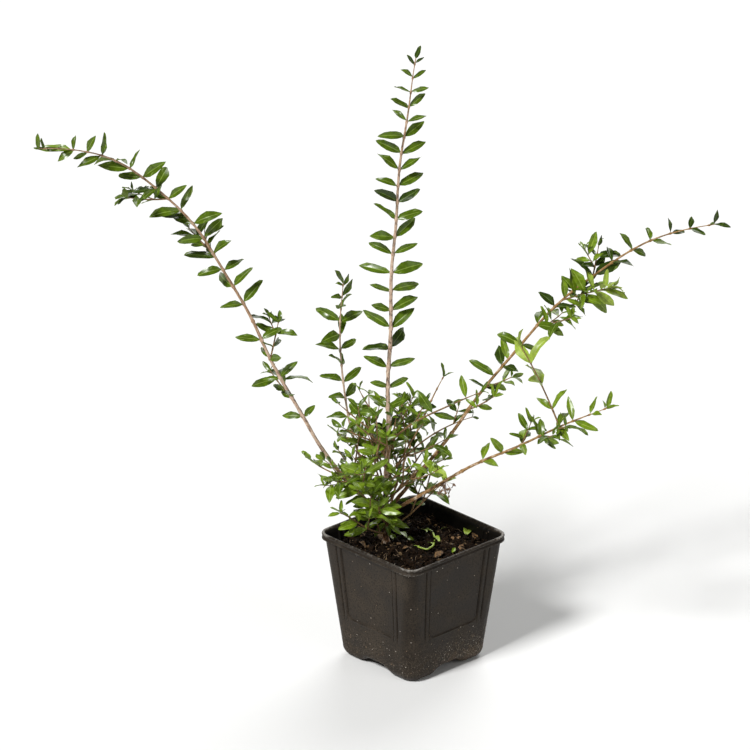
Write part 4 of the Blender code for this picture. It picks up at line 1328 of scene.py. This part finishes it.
@dataclass(frozen=True)
class Forms:
    """How the leaves of one kind differ."""

    curl: Span  # bend over the length, in radians
    fold: Span  # how far each half rises, in degrees
    twist: float  # spread of the twist over the length, in radians
    wide: Span  # width over the blade's own

    def draw(self, rng: np.random.Generator, count: int) -> Array:
        """Curl, fold, twist and width factor of each leaf, (count, 4)."""
        return rows_of(rng.uniform(*self.curl, count), np.radians(rng.uniform(*self.fold, count)),
                       rng.normal(0, self.twist, count), rng.uniform(*self.wide, count))


@dataclass(frozen=True)
class Blade:
    """The form of a leaf, a grid of rows along it and columns across.

    At a share s of its length the half width is slender / 2 * sin(pi s'^0.9)^0.74, with s' running from the end
    of the stalk to the tip. The midline is an arc that bends down by curl radians over the length, each half
    rises from it by the fold, its margin ripples and its outline waves by a sine, and the whole turns by a
    twist.
    """

    along: tuple[float, ...] = (0.07, 0.19, 0.36, 0.56, 0.76, 0.92)
    slender: float = 0.340
    stalk: float = 0.05
    stalk_half: float = 0.022  # half width at the stalk, over the length
    thick: float = 0.017  # depth under the midrib, over the length
    least: float = 0.006  # the same at its edge
    ripple: float = 0.034  # height of the margin's ripple, over the length
    wavy: float = 0.09  # how far the outline waves, over its half width
    ripples: float = 9.0  # radians of it over the length
    swell: float = 0.16  # how far each half bulges between midrib and margin
    across: tuple[float, ...] = (-1.0, -0.55, -0.07, 0.07, 0.55, 1.0)

    def half_width(self, share: Array) -> Array:
        """Half the width over the length, at a share of the length."""
        rest = np.clip((share - self.stalk) / (1 - self.stalk), 0, 1)
        return np.maximum(self.slender / 2 * np.sin(np.pi * rest ** 0.9) ** 0.74, self.stalk_half * (share < 0.3))

    def place(self, leaves: Leaves, share: Array, side: Array, drop: Array) -> Array:
        """Points of every blade.

        Args:
            leaves: the leaves.
            share: shares along the blade, (k,).
            side: shares across it, -1 to 1, (k,).
            drop: depth below its face over the length, (k,).

        Returns:
            Points, (n, k, 3).
        """
        curl, fold, twist, wide = (column(values) for values in leaves.form.T)
        length = column(leaves.length)
        angle = curl * share
        ahead = length * np.sin(angle) / curl
        sink = length * (1 - np.cos(angle)) / curl
        way, face = leaves.way[:, None], leaves.face[:, None]
        beside = np.cross(leaves.face, leaves.way)[:, None]
        normal = face * np.cos(angle)[..., None] + way * np.sin(angle)[..., None]
        turn = (twist * share)[..., None]
        across = beside * np.cos(turn) + normal * np.sin(turn)
        normal = normal * np.cos(turn) - beside * np.sin(turn)
        wave = np.sin(self.ripples * share + 20 * twist + 2 * side)
        half = length * self.half_width(share) * wide * (1 + self.wavy * wave)
        swell = self.swell * np.abs(side) * (1 - np.abs(side))
        out = (half * side * np.cos(fold))[..., None]
        ripple = self.ripple * side ** 2 * wave
        rise = (half * (np.abs(side) * np.sin(fold) + swell) + (ripple - drop) * length)[..., None]
        middle = leaves.foot[:, None] + way * ahead[..., None] - face * sink[..., None]
        return middle + across * out + normal * rise

    def felt(self, leaves: Leaves) -> Array:
        """Places along each blade's middle and margins that feel for its neighbours, (n, 11, 3)."""
        share = np.array([0.32, 0.5, 0.68, 0.85, 1.0, 0.35, 0.35, 0.55, 0.55, 0.78, 0.78])
        side = np.array([0, 0, 0, 0, 0, 0.9, -0.9, 0.9, -0.9, 0.9, -0.9])
        return self.place(leaves, share, side, np.zeros(len(share)))

    def template(self) -> tuple[Array, Array, Array, list[Array], list[int]]:
        """The grid of one leaf: a top sheet and a keel sheet that share its margins, closed at root and tip.

        Returns:
            Share along, share across and depth of each point, then its faces and their slots.
        """
        rows, columns = len(self.along), len(self.across)
        share = np.concatenate([np.repeat(self.along, columns), self.along, (0.0, 1.0)])
        side = np.concatenate([np.tile(self.across, rows), np.zeros(rows + 2)])
        keel = self.thick * np.sin(np.pi * np.sqrt(self.along)) + self.least
        drop = np.concatenate([np.zeros(rows * columns), keel, (self.least / 2, 0.0)])
        root, tip = len(share) - 2, len(share) - 1
        quads = grid_faces(rows, columns, False)[:, [0, 3, 2, 1]]
        middle = quads[:, 0] % columns == columns // 2 - 1
        ends = np.arange(columns - 1)
        last = (rows - 1) * columns
        fans = np.concatenate([rows_of(root, ends, ends + 1), rows_of(last + ends + 1, last + ends, tip)])
        rib_fan = np.concatenate([ends, ends]) == columns // 2 - 1
        keels = rows * columns + np.arange(rows)
        left, right = np.arange(rows) * columns, np.arange(rows) * columns + columns - 1
        under = np.concatenate([rows_of(left[:-1], keels[:-1], keels[1:], left[1:]),
                                rows_of(keels[:-1], right[:-1], right[1:], keels[1:])])
        under_fans = np.array([(root, keels[0], left[0]), (root, right[0], keels[0]),
                               (left[-1], keels[-1], tip), (keels[-1], right[-1], tip)])
        return share, side, drop, [quads[~middle], quads[middle], fans[~rib_fan], fans[rib_fan],
                                   under, under_fans], [0, 1, 0, 1, 2, 2]

    def add_to(self, shape: Shape, leaves: Leaves) -> None:
        """Add every leaf to a shape."""
        *places, faces, slots = self.template()
        points = self.place(leaves, *places).reshape(-1, 3)
        shape.add(points, repeated(faces, len(places[0]), len(leaves.foot)), slots)


@dataclass(frozen=True)
class TwigKind:
    """How the side twigs of one kind grow."""

    thick: float  # diameter at the foot
    leaf: float  # length of its leaves over the shoot's
    highest: float  # even count of the leaf pair below which it leaves the shoot
    fine: int  # finer twigs that it carries itself
    draws: int  # added to the shoot's seed for the draws
    seeds: int  # the same for the twigs' own seeds


@dataclass
class Shrub:
    """The plant: its lines, the bark of its limbs, its twigs and its leaves."""

    tufts: Tufts = Tufts()
    blade: Blade = Blade()
    pink: Bark = Bark("bark_pink", (0.37, 0.225, 0.130), (0.52, 0.37, 0.27))
    brown: Bark = Bark("bark_brown", (0.31, 0.170, 0.055), (0.30, 0.170, 0.062))
    twig: Mottled = Mottled("twig_bark", (0.30, 0.18, 0.070), (0.105, 0.055, 0.020), grain=900.0, fineness=0.60,
                            shade=0.38, rough=0.60, relief=0.0002)
    flare: float = 0.0008  # how much wider the trunk stands at the soil
    flare_tall: float = 0.0050
    collar: float = 0.0005  # the same for a bough where it leaves the trunk
    collar_long: float = 0.003
    slim: float = 0.84  # thickness of the limbs over that of the solids
    sunk: float = 0.0025  # how far the trunk goes down into the soil
    row: float = 0.0008  # distance between the rings of a limb
    twig_row: float = 0.0018  # the same for a twig
    fissure: float = 0.0045  # length of the bark's fissures
    fissures: int = 9  # how many of them there are round a limb
    swelling: float = 0.00042  # how far a limb swells at a leaf pair
    swelling_long: float = 0.0009
    twig_swelling: float = 0.00018
    twig_swelling_long: float = 0.0008
    stray: float = 11.0  # spread of a pair's turn about its stem, and of a leaf's within its pair
    stray_angle: float = 10.0  # spread of a leaf's angle to its stem
    closed: float = 28.0  # how much nearer to the stem the last leaves stand
    uneven: Span = (0.78, 1.20)  # length of a leaf over its due
    forms: Forms = Forms((0.10, 1.20), (4, 30), np.radians(26), (0.80, 1.18))
    form_seed: int = 907
    swing: float = 34.0  # how far a leaf turns at most to stay clear of others
    tries: int = 9
    last_leaf: float = 0.62  # length of the leaves at a shoot's very tip, over the shoot's leaf length
    off_soil: float = 0.006  # no leaf hangs lower than this over the soil
    clear_leaf: float = 0.0011  # least distance between the places felt on two leaves
    clear_wood: float = 0.0013  # the same between a leaf and the middle of another shoot's stem
    near: float = 0.03  # leaves further apart than this can't touch
    wood_step: float = 0.0015
    sturdy: TwigKind = TwigKind(0.0014, 0.96, 0.72, 1, 1000, 0)  # the side twigs of the solids
    finer: TwigKind = TwigKind(0.0010, 0.92, 0.9, 0, 3000, 7)  # those that are here only
    fine_length: float = 0.016
    spacing: Pair = (0.0130, 0.0088)  # between the leaf pairs of a twig, on a bough's shoot and on others
    forward: float = 0.70  # how much a twig keeps to the shoot's way
    aside: float = 0.71  # how much it leaves it
    flowers: int = 12
    flower_at: float = 0.30  # share of the low right shoot at which they hang
    flower_low: float = 0.0058  # how far below it
    flower_wide: float = 0.0024
    flower_seed: int = 211
    stalk: float = 0.00016  # radius of their stalks
    husk: Span = (0.0022, 0.0034)  # length of a husk
    husk_forms: Forms = Forms((0.6, 1.5), (15, 45), 0.4, (1.1, 1.9))
    lines: dict[str, Line] = field(default_factory=dict)

    def grow(self) -> None:
        """Work out every shoot's line by the rule of the solids."""
        for shoot in (*MAIN_SHOOTS, *self.tufts.shoots(), KNOT):
            self.lines[shoot.name] = self.settled(shoot)

    def start_of(self, shoot: Shoot) -> Array:
        """Where a shoot starts: on its carrier's line, or on the soil.

        Args:
            shoot: the shoot.

        Returns:
            The point, (3,).
        """
        if not shoot.carrier:
            return np.array([*Compost.trunk, SOIL_LEVEL + GAP])
        carrier = self.lines[shoot.carrier]
        return carrier.point(np.array([shoot.at / carrier.shoot.length]))[0]

    def settled(self, shoot: Shoot) -> Line:
        """The line of a shoot; a tuft turns and rises until its stem is clear of the stems before it.

        Args:
            shoot: the shoot.

        Returns:
            The first clear line, or the one with the most room.
        """
        if not shoot.name.startswith(self.tufts.kind.name):
            return Line(shoot, self.start_of(shoot))
        best, most = None, -np.inf
        for rise, turn in product(self.tufts.rises, self.tufts.turns):
            moved = replace(shoot, heading=shoot.heading + turn, at=shoot.at + rise)
            line = Line(moved, self.start_of(moved))
            room = self.room(line)
            if room > most:
                best, most = line, room
            if room > 0:
                break
        return best

    def room(self, line: Line) -> float:
        """How clear a line is of the others where it has left the trunk.

        Args:
            line: the line.

        Returns:
            The least distance, less both radii and the clearance.
        """
        share = np.linspace(0, 1, STEPS + 1)
        trunk = self.lines["upright"]
        outside = gaps(line.points, trunk.points).min(axis=1) > self.tufts.outside
        least = 1.0
        for other in self.lines.values():
            if other is not trunk:
                space = gaps(line.points, other.points) - line.radius(share)[:, None] - other.radius(share)[None]
                least = min(least, (space - CLEAR)[outside].min())
        return least

    def leaves_of(self, line: Line, number: int, attempt: int) -> Leaves:
        """Pairs of leaves up a shoot, each pair turned about it from the last, and a small pair at its tip.

        Up the shoot the leaves grow to 1.08 of the shoot's leaf length by half a sine, and the last are smaller.

        Args:
            line: the shoot's line.
            number: the line's number.
            attempt: 0 for the rule's own leaves; each further attempt turns and shortens them a little.

        Returns:
            Its leaves, whose forms are still blank.
        """
        shoot = line.shoot
        rng = np.random.default_rng(shoot.seed)
        again = np.random.default_rng([shoot.seed, attempt])
        swing = self.swing * min(attempt, 3) / 3
        share, even = line.pairs()
        count = len(share)
        kept = rng.random(count) < shoot.full * between((shoot.sparse, 1), np.clip(even / 0.4, 0, 1))
        turned = shoot.roll + shoot.spread * (-1.0) ** np.arange(count) + rng.normal(0, self.stray, count)
        size = 0.78 + 0.30 * np.sin(np.pi * np.clip(even * 1.05, 0, 1))
        size = size - 0.30 * np.clip((even - 0.82) / 0.18, 0, 1)
        tone = self.tones(shoot, even)
        share, even, size = np.append(share, 1.0), np.append(even, 1.0), np.append(size, self.last_leaf)
        kept, turned, tone = np.append(kept, True), np.append(turned, shoot.roll), np.append(tone, tone[-1])
        count += 1
        parts = []
        for side in (1.0, -1.0):
            spot = np.clip(share + rng.uniform(-1, 1, count) * JOG / shoot.length, 0, 1)
            tangent, level = line.tangent(spot), line.level(spot)
            upright = np.cross(tangent, level)
            lift = column(np.radians(LIFT) * np.hypot(tangent[:, 0], tangent[:, 1]))
            tangent, upright = (np.cos(lift) * tangent - np.sin(lift) * upright,
                                np.cos(lift) * upright + np.sin(lift) * tangent)
            roll = turned + rng.normal(0, self.stray, count) + again.uniform(-swing, swing, count)
            roll = column(np.radians(roll))
            out = side * (np.cos(roll) * level + np.sin(roll) * upright)
            angle = shoot.angle - self.closed * np.clip((even - 0.7) / 0.3, 0, 1) ** 2
            angle = angle + rng.normal(0, self.stray_angle, count)
            angle = column(np.radians(angle + again.uniform(-0.5, 0.4, count) * swing))
            way = np.cos(angle) * tangent + np.sin(angle) * out
            plane = np.cross(tangent, out)
            plane = plane * column(np.where(plane @ LIGHT < 0, -1.0, 1.0))
            face = square_to(way, (1 - FACING) * square_to(way, tangent) + FACING * plane)
            length = shoot.leaf * size * rng.uniform(*self.uneven, count) * 0.97 ** attempt
            parts.append(Leaves(line.point(spot), unit(way), face, length, np.zeros((count, 4)), tone,
                                np.full(count, number)).pick(kept))
        return Leaves.joined(parts)

    def tones(self, shoot: Shoot, even: Array) -> Array:
        """The tone of each pair: one for the whole spray, a few pairs apart, and young ones at the tip.

        Args:
            shoot: the shoot.
            even: the pairs' even count from 0 to 1.

        Returns:
            Numbers of tones.
        """
        rng = np.random.default_rng(shoot.seed + 500)
        own, other = (shoot.tones[rng.integers(len(shoot.tones))].value for _ in range(2))
        tone = np.where(rng.random(len(even)) < 0.3, other, own)
        return np.where(even > 1 - shoot.young, Tone.YOUNG.value, tone)

    def twigs_of(self, line: Line, wanted: int, length: float, kind: TwigKind) -> list[Line]:
        """Side twigs of a shoot, each leaving it at the foot of a leaf pair and bending upwards.

        Args:
            line: the shoot's line.
            wanted: how many twigs there are at most.
            length: their mean length.
            kind: how they grow.

        Returns:
            The twigs' lines.
        """
        shoot = line.shoot
        rng = np.random.default_rng(shoot.seed + kind.draws)
        share, even = line.pairs()
        places = np.flatnonzero((even < kind.highest) & (share > shoot.bare + 0.02))
        chosen = np.sort(rng.choice(places, size=min(wanted, len(places)), replace=False))
        twigs = []
        for number, place in enumerate(chosen):
            spot = share[place:place + 1]
            tangent, level = line.tangent(spot)[0], line.level(spot)[0]
            roll = np.radians(shoot.roll + rng.uniform(-50, 50))
            side = 1.0 if rng.random() < 0.5 else -1.0
            out = side * (np.cos(roll) * level + np.sin(roll) * np.cross(tangent, level))
            way = unit(self.forward * tangent + self.aside * out)
            lean = np.degrees(np.arccos(way[2]))
            twigs.append(Line(replace(
                shoot, name="%s_twig_%d" % (shoot.name, number), carrier=shoot.name, turn=0.0,
                heading=np.degrees(np.arctan2(way[1], way[0])), leans=(lean, lean * 0.88, lean * 0.80),
                length=length * rng.uniform(0.7, 1.15), thick=kind.thick, thin=kind.thick * 0.7, bare=0.0,
                start=0.3, sparse=1.0, pitch=self.spacing[not shoot.bare], leaf=shoot.leaf * kind.leaf, roll=45,
                spread=42, angle=60.0, fine=kind.fine, seed=shoot.seed * 10 + number + kind.seeds),
                line.point(spot)[0]))
        return twigs

    def sprays(self) -> list[Line]:
        """Every line that carries leaves: the shoots, the side twigs of the solids, and finer twigs on both.

        A twig that would hang, cross another stem or reach out of the plant's box is left out.

        Returns:
            The lines, the shoots first.
        """
        kept = list(self.lines.values())
        low, high = (np.array(corner) for corner in CAD_BOX)
        for kind in (self.sturdy, self.finer):
            new = []
            for line in kept:
                shoot = line.shoot
                wanted, length = ((shoot.twigs, shoot.twig) if kind is self.sturdy else
                                  (shoot.fine, self.fine_length))
                new += [(line, twig) for twig in self.twigs_of(line, wanted, length, kind)]
            for line, twig in new:
                inside = np.all((twig.points[-1] > low) & (twig.points[-1] < high))
                rising = twig.points[-1][2] > twig.points[0][2]
                if inside and rising and self.clear_of(twig, kept, line):
                    kept.append(twig)
        log.info("stems: %d", len(kept))
        return kept

    @staticmethod
    def clear_of(twig: Line, kept: list[Line], carrier: Line) -> bool:
        """Whether a twig stays clear of other stems past its foot.

        Args:
            twig: its line.
            kept: the lines that stand already.
            carrier: the line that it grows from, which isn't felt.

        Returns:
            True where it does.
        """
        tip = twig.points[STEPS // 3:]
        return all(gaps(tip, other.points).min() >= (other.shoot.thick + twig.shoot.thick) / 2 + CLEAR
                   for other in kept if other is not carrier)

    def limb(self, line: Line, name: str, finish: bpy.types.Material, *nodes: str) -> None:
        """The bark of a limb, from its foot to the shoot's tip.

        Each ring's radius is the line's own, plus a flare or collar at the foot, a swelling at each leaf pair, and
        fissures that run along the wood and are deeper on old wood.

        Args:
            line: the limb's line.
            name: the piece's name.
            finish: its bark.
            nodes: the nodes that it stands for.
        """
        shoot = line.shoot
        trunk = not shoot.carrier
        rows, sides = round(shoot.length / self.row), 24 if trunk else 16
        share, turn = np.linspace(0, 1, rows), np.arange(sides)[None] / sides
        run = column(share * shoot.length)
        tangent, level = line.tangent(share), line.level(share)
        tangent[0] = (0, 0, 1) if trunk else tangent[0]
        wide, tall = (self.flare, self.flare_tall) if trunk else (self.collar, self.collar_long)
        radius = column(self.slim * line.radius(share) * (1 - 0.45 * ease(share, 0.80, 1.0)))
        radius = radius + wide * np.exp(-run / tall)
        age = np.clip(1.05 - run / (0.30 if trunk else 0.16), 0.02, 1.0)
        around, up = turn * self.fissures, run / self.fissure
        bark = lattice(around, up, shoot.seed, self.fissures)
        bark = bark + 0.5 * lattice(around * 2, up * 2.3, shoot.seed + 1, 2 * self.fissures)
        scar = 0.55 + 0.45 * np.abs(np.cos(2 * np.pi * (turn - 0.25)))
        bulge = self.swelling * column(line.swollen(share, self.swelling_long))
        surface = radius * (1 + (0.085 + 0.105 * age) * bark) + bulge * scar
        angle = 2 * np.pi * turn[0]
        rings = line.point(share)[:, None] + surface[..., None] * spokes(level, np.cross(tangent, level), angle)
        if trunk:
            rings[0, :, 2] -= self.sunk
        first, last = line.points[0] - tangent[0] * self.sunk * trunk, line.points[-1] + tangent[-1] * 0.0006
        grain = risen(circle(angle) * radius[:, None], run)
        shape = Shape()
        shape.add(with_poles(rings, first, last), closed_grid(rows, sides),
                  grain=with_poles(grain, (0, 0, 0), (0, 0, 0)),
                  age=np.append(np.repeat(age, sides), (1.0, 0.02)))
        shape.tied(name, "bark", [finish], *nodes)

    def limbs(self) -> None:
        """The trunk and the five boughs."""
        pink, brown = self.pink.material(), self.brown.material()
        for name, line in self.lines.items():
            if line.shoot.bare:
                node = "trunk" if name == "upright" else "bough_" + name
                self.limb(line, node + "_bark", brown if line.shoot.brown else pink, node, "foliage_" + name)

    def twig_wood(self, sprays: list[Line]) -> None:
        """The thin wood of every shoot that has no bough, and of all side twigs.

        Args:
            sprays: the lines that carry leaves.
        """
        shape = Shape()
        for line in sprays:
            if line.shoot.bare:
                continue
            share = np.linspace(0, 1, max(6, round(line.shoot.length / self.twig_row)))
            radii = self.slim * line.radius(share) * (1 - 0.4 * ease(share, 0.7, 1.0))
            radii = radii + self.twig_swelling * line.swollen(share, self.twig_swelling_long)
            shape.add(*thread(line.point(share), radii, 8))
        shape.tied("twigs", "bark", [self.twig.material()], *FOLIAGE_NODES)

    def foliage(self, sprays: list[Line]) -> None:
        """The leaves of every line, sorted into a piece for each tone.

        Args:
            sprays: the lines that carry leaves.
        """
        placed = self.settled_leaves(sprays)
        for tone, skin in SKINS.items():
            shape = Shape(crease=55.0)
            self.blade.add_to(shape, placed.pick(placed.tone == tone.value))
            shape.tied("leaves_" + skin.name, "foliage", skin.materials(), *FOLIAGE_NODES)

    def settled_leaves(self, sprays: list[Line]) -> Leaves:
        """Leaves that touch neither foreign wood nor each other.

        A leaf that would touch something is turned a little and tried again, and left out after some tries.

        Args:
            sprays: the lines that carry leaves.

        Returns:
            The leaves.
        """
        spots = [line.spots(self.wood_step) for line in sprays]
        wood = tree_of(np.concatenate(spots))
        owners = np.concatenate([np.full(len(part), number) for number, part in enumerate(spots)])
        tries = [Leaves.joined([self.leaves_of(line, number, attempt) for number, line in enumerate(sprays)])
                 for attempt in range(self.tries)]
        done = np.zeros(len(tries[0].foot), bool)
        form = self.forms.draw(np.random.default_rng(self.form_seed), len(done))
        leaves = [self.marked_leaves()]
        taken = list(self.blade.felt(leaves[0]))
        for tried in tries:
            tried.form = form
            points = self.blade.felt(tried)
            standing = tree_of(np.concatenate(taken))
            fresh: list[Array] = []
            placed = []
            for number in np.flatnonzero(~done & (points[..., 2].min(axis=1) > SOIL_LEVEL + self.off_soil)):
                places = points[number]
                if any(owners[index] != tried.line[number] for place in places
                       for _, index, _ in wood.find_range(place, self.clear_wood)):
                    continue
                if any(standing.find_range(place, self.clear_leaf) for place in places):
                    continue
                near = [other for other in fresh if np.abs(other[0] - places[0]).max() < self.near]
                if near and gaps(places, np.concatenate(near)).min() < self.clear_leaf:
                    continue
                fresh.append(places)
                placed.append(number)
            done[placed] = True
            leaves.append(tried.pick(np.array(placed, int)))
            taken += fresh
        made = Leaves.joined(leaves)
        log.info("leaves: %d of %d", len(made.foot), len(done))
        return made

    def marked_leaves(self) -> Leaves:
        """The leaves that stand out in the photograph, each on its shoot and level with the picture."""
        right, up, towards = VIEW.axes()
        marks = [(self.lines[shoot].points, mark) for shoot, own in MARKED.items() for mark in own]
        foot = [points[np.hypot(*(VIEW.seen_at(points) - mark.foot).T).argmin()] for points, mark in marks]
        across, down = (np.array([np.subtract(mark.tip, mark.foot) for _, mark in marks]) / VIEW.pixels).T
        way = column(across) * right - column(down) * up
        form = np.tile([0.45, np.radians(16), 0.10, 0.95], (len(marks), 1))
        face, tone = square_to(unit(way), towards + 0.6 * up), np.array([mark.tone.value for _, mark in marks])
        return Leaves(np.array(foot), unit(way), face, np.linalg.norm(way, axis=1), form, tone,
                      np.full(len(marks), -1))

    def spent_flowers(self) -> None:
        """A dry cluster of spent flowers that hangs from the low right shoot: husks on short stalks."""
        rng = np.random.default_rng(self.flower_seed)
        at = self.lines["right_low"].point(np.array([self.flower_at]))[0]
        knots = at - (0, 0, self.flower_low) + rng.normal(0, self.flower_wide, (self.flowers, 3))
        shape = Shape()
        share = np.linspace(0, 1, 5)
        for knot in knots:
            bend = 0.0008 * np.sin(np.pi * share)
            points = at + column(share) * (knot - at) + column(bend) * rng.normal(0, 1, 3)
            shape.add(*thread(points, np.full(len(share), self.stalk), 3))
        way = unit(rng.normal(0, 1, (3 * self.flowers, 3)) - (0, 0, 0.5))
        face = unit(np.cross(way, unit(rng.normal(0, 1, way.shape))))
        count = len(way)
        self.blade.add_to(shape, Leaves(np.repeat(knots, 3, axis=0), way, face, rng.uniform(*self.husk, count),
                                        self.husk_forms.draw(rng, count), *np.zeros((2, count))))
        dry = Mottled("spent_flower", (0.42, 0.27, 0.17), (0.13, 0.070, 0.040)).material()
        shape.tied("spent_flowers", "foliage", [dry] * 3)

    def make(self) -> None:
        """Grow the plant and dress it."""
        self.grow()
        self.limbs()
        sprays = self.sprays()
        self.twig_wood(sprays)
        self.foliage(sprays)
        self.spent_flowers()


@dataclass(frozen=True)
class Fallen:
    """Fallen leaflets, green and dry, and a bent green sprout on the soil, where the photograph shows them."""

    fresh: tuple[Mark, ...] = (
        Mark((232.5, 578.5), (236.5, 582.5)), Mark((240, 577), (243.8, 580.2)), Mark((244.5, 580.2), (248, 584)),
        Mark((273, 590.8), (275.6, 588.8)))
    young: tuple[Mark, ...] = (
        Mark((266, 575.4), (270.2, 575)), Mark((282.2, 579.6), (284, 574.4)), Mark((257, 577.5), (254.5, 574)),
        Mark((261.8, 580), (264.6, 584)), Mark((261.4, 585.4), (257.6, 584)), Mark((252, 587.2), (248.4, 585.2)))
    dry: tuple[Mark, ...] = (
        Mark((261.8, 593.8), (267.4, 590)), Mark((263, 590.6), (265.6, 593.2)), Mark((226, 577.2), (228.8, 583.4)),
        Mark((213.2, 583.6), (216.4, 587.2)), Mark((240.8, 588.4), (245.2, 586.6)),
        Mark((286.8, 577.6), (289.6, 582)))
    sprout: tuple[Pair, ...] = (
        (257.0, 575.0), (260.6, 577.0), (262.2, 581.5), (261.0, 586.2), (257.0, 588.8), (251.0, 587.0))
    thick: float = 0.0013  # diameter of the sprout
    level: float = SOIL_LEVEL + 0.0014
    forms: Forms = Forms((0.2, 0.9), (8, 28), 0.25, (1.00, 1.40))
    seed: int = 307

    def leaves(self, marks: tuple[Mark, ...]) -> Leaves:
        """Leaflets that lie on the soil, a little raised at the tip.

        Args:
            marks: where they show.

        Returns:
            The leaflets.
        """
        rng = np.random.default_rng(self.seed)
        foot = VIEW.on_level([mark.foot for mark in marks], self.level)
        tip = VIEW.on_level([mark.tip for mark in marks], self.level)
        count = len(foot)
        way = unit(tip - foot + column(rng.uniform(0.0005, 0.0025, count)) * (0, 0, 1))
        face = square_to(way, (0, 0, 1) + rng.normal(0, 0.25, (count, 3)))
        return Leaves(foot, way, face, np.linalg.norm(tip - foot, axis=1), self.forms.draw(rng, count),
                      *np.zeros((2, count)))

    def stem(self) -> tuple[Array, list[Array]]:
        """The sprout: a smoothed line through its marks, thickest in the middle."""
        marks = VIEW.on_level(self.sprout, self.level)
        run, share = np.arange(len(marks)), np.linspace(0, len(marks) - 1, 26)
        points = rows_of(*(np.interp(share, run, part) for part in marks.T))
        points[1:-1] = (points[:-2] + 2 * points[1:-1] + points[2:]) / 4
        return thread(points, self.thick / 2 * (0.75 + 0.25 * np.sin(np.pi * share / share[-1])), 6)

    def make(self, blade: Blade) -> None:
        """Build the leaflets of each tint and the sprout.

        Args:
            blade: the form of a leaf.
        """
        dry = Mottled("leaf_dry", (0.23, 0.125, 0.042), (0.050, 0.024, 0.009), 700.0).material()
        fresh, young = SKINS[Tone.FRESH].materials(), SKINS[Tone.YOUNG].materials()
        for name, marks, skin in (("fresh", self.fresh, fresh), ("young", self.young, young),
                                  ("dry", self.dry, [dry] * 3)):
            shape = Shape(crease=55.0)
            blade.add_to(shape, self.leaves(marks))
            if name == "young":
                shape.add(*self.stem())
            shape.tied("fallen_leaves_" + name, "foliage", skin)


# Light and camera

@dataclass(frozen=True)
class Lamp:
    """A soft light that shines evenly from one side."""

    name: str
    place: Triple
    power: float
    spread: float  # degrees that it spans


@dataclass(frozen=True)
class Studio:
    """A pale floor, soft lights and the camera."""

    view: View = VIEW
    floor: float = 12.0  # width of the floor
    sky: float = 0.13  # strength of the even light from all round
    lamps: tuple[Lamp, ...] = (
        Lamp("key", (-1.3, -1.5, 2.2), 3.65, 14.0), Lamp("fill", (1.7, -1.2, 1.2), 0.50, 40.0),
        Lamp("back", (0.4, 1.8, 1.6), 1.50, 40.0))
    sensor: float = 36.0

    def aimed(self, data: bpy.types.ID, place: Iterable[float]) -> bpy.types.Object:
        """Put a light or the camera up.

        Args:
            data: its data.
            place: where it stands.

        Returns:
            The object, turned to the view's target.
        """
        made = bpy.data.objects.new(data.name, data)
        bpy.context.scene.collection.objects.link(made)
        made.location = place
        made.rotation_euler = (Vector(self.view.target) - made.location).to_track_quat("-Z", "Y").to_euler()
        return made

    def make(self) -> None:
        """Set up floor, lights, world and camera."""
        shape = Shape()
        corners = np.array([(-1, -1, 0), (1, -1, 0), (1, 1, 0), (-1, 1, 0)]) * self.floor / 2
        shape.add(corners, [np.array([[0, 1, 2, 3]])])
        shape.piece("floor", [Backdrop().material()])
        for lamp in self.lamps:
            data = bpy.data.lights.new(lamp.name, "SUN")
            data.energy = lamp.power
            data.angle = np.radians(lamp.spread)
            self.aimed(data, lamp.place)
        world = bpy.data.worlds.new("world")
        world.use_nodes = True
        ground = world.node_tree.nodes["Background"]
        ground.inputs["Color"].default_value = (1.0, 1.0, 1.0, 1.0)
        ground.inputs["Strength"].default_value = self.sky
        scene = bpy.context.scene
        scene.world = world
        scene.view_settings.view_transform = "Standard"
        data = bpy.data.cameras.new("camera")
        data.sensor_width = self.sensor
        data.lens = self.sensor * self.view.away / self.view.wide
        scene.camera = self.aimed(data, self.view.target + self.view.axes()[2] * self.view.away)


def main() -> None:
    """Build every sub-assembly."""
    logging.basicConfig(level=logging.INFO, format="%(message)s")
    Studio().make()
    Pot().make()
    Compost().make()
    shrub = Shrub()
    shrub.make()
    Fallen().make(shrub.blade)


if __name__ == "__main__":
    main()
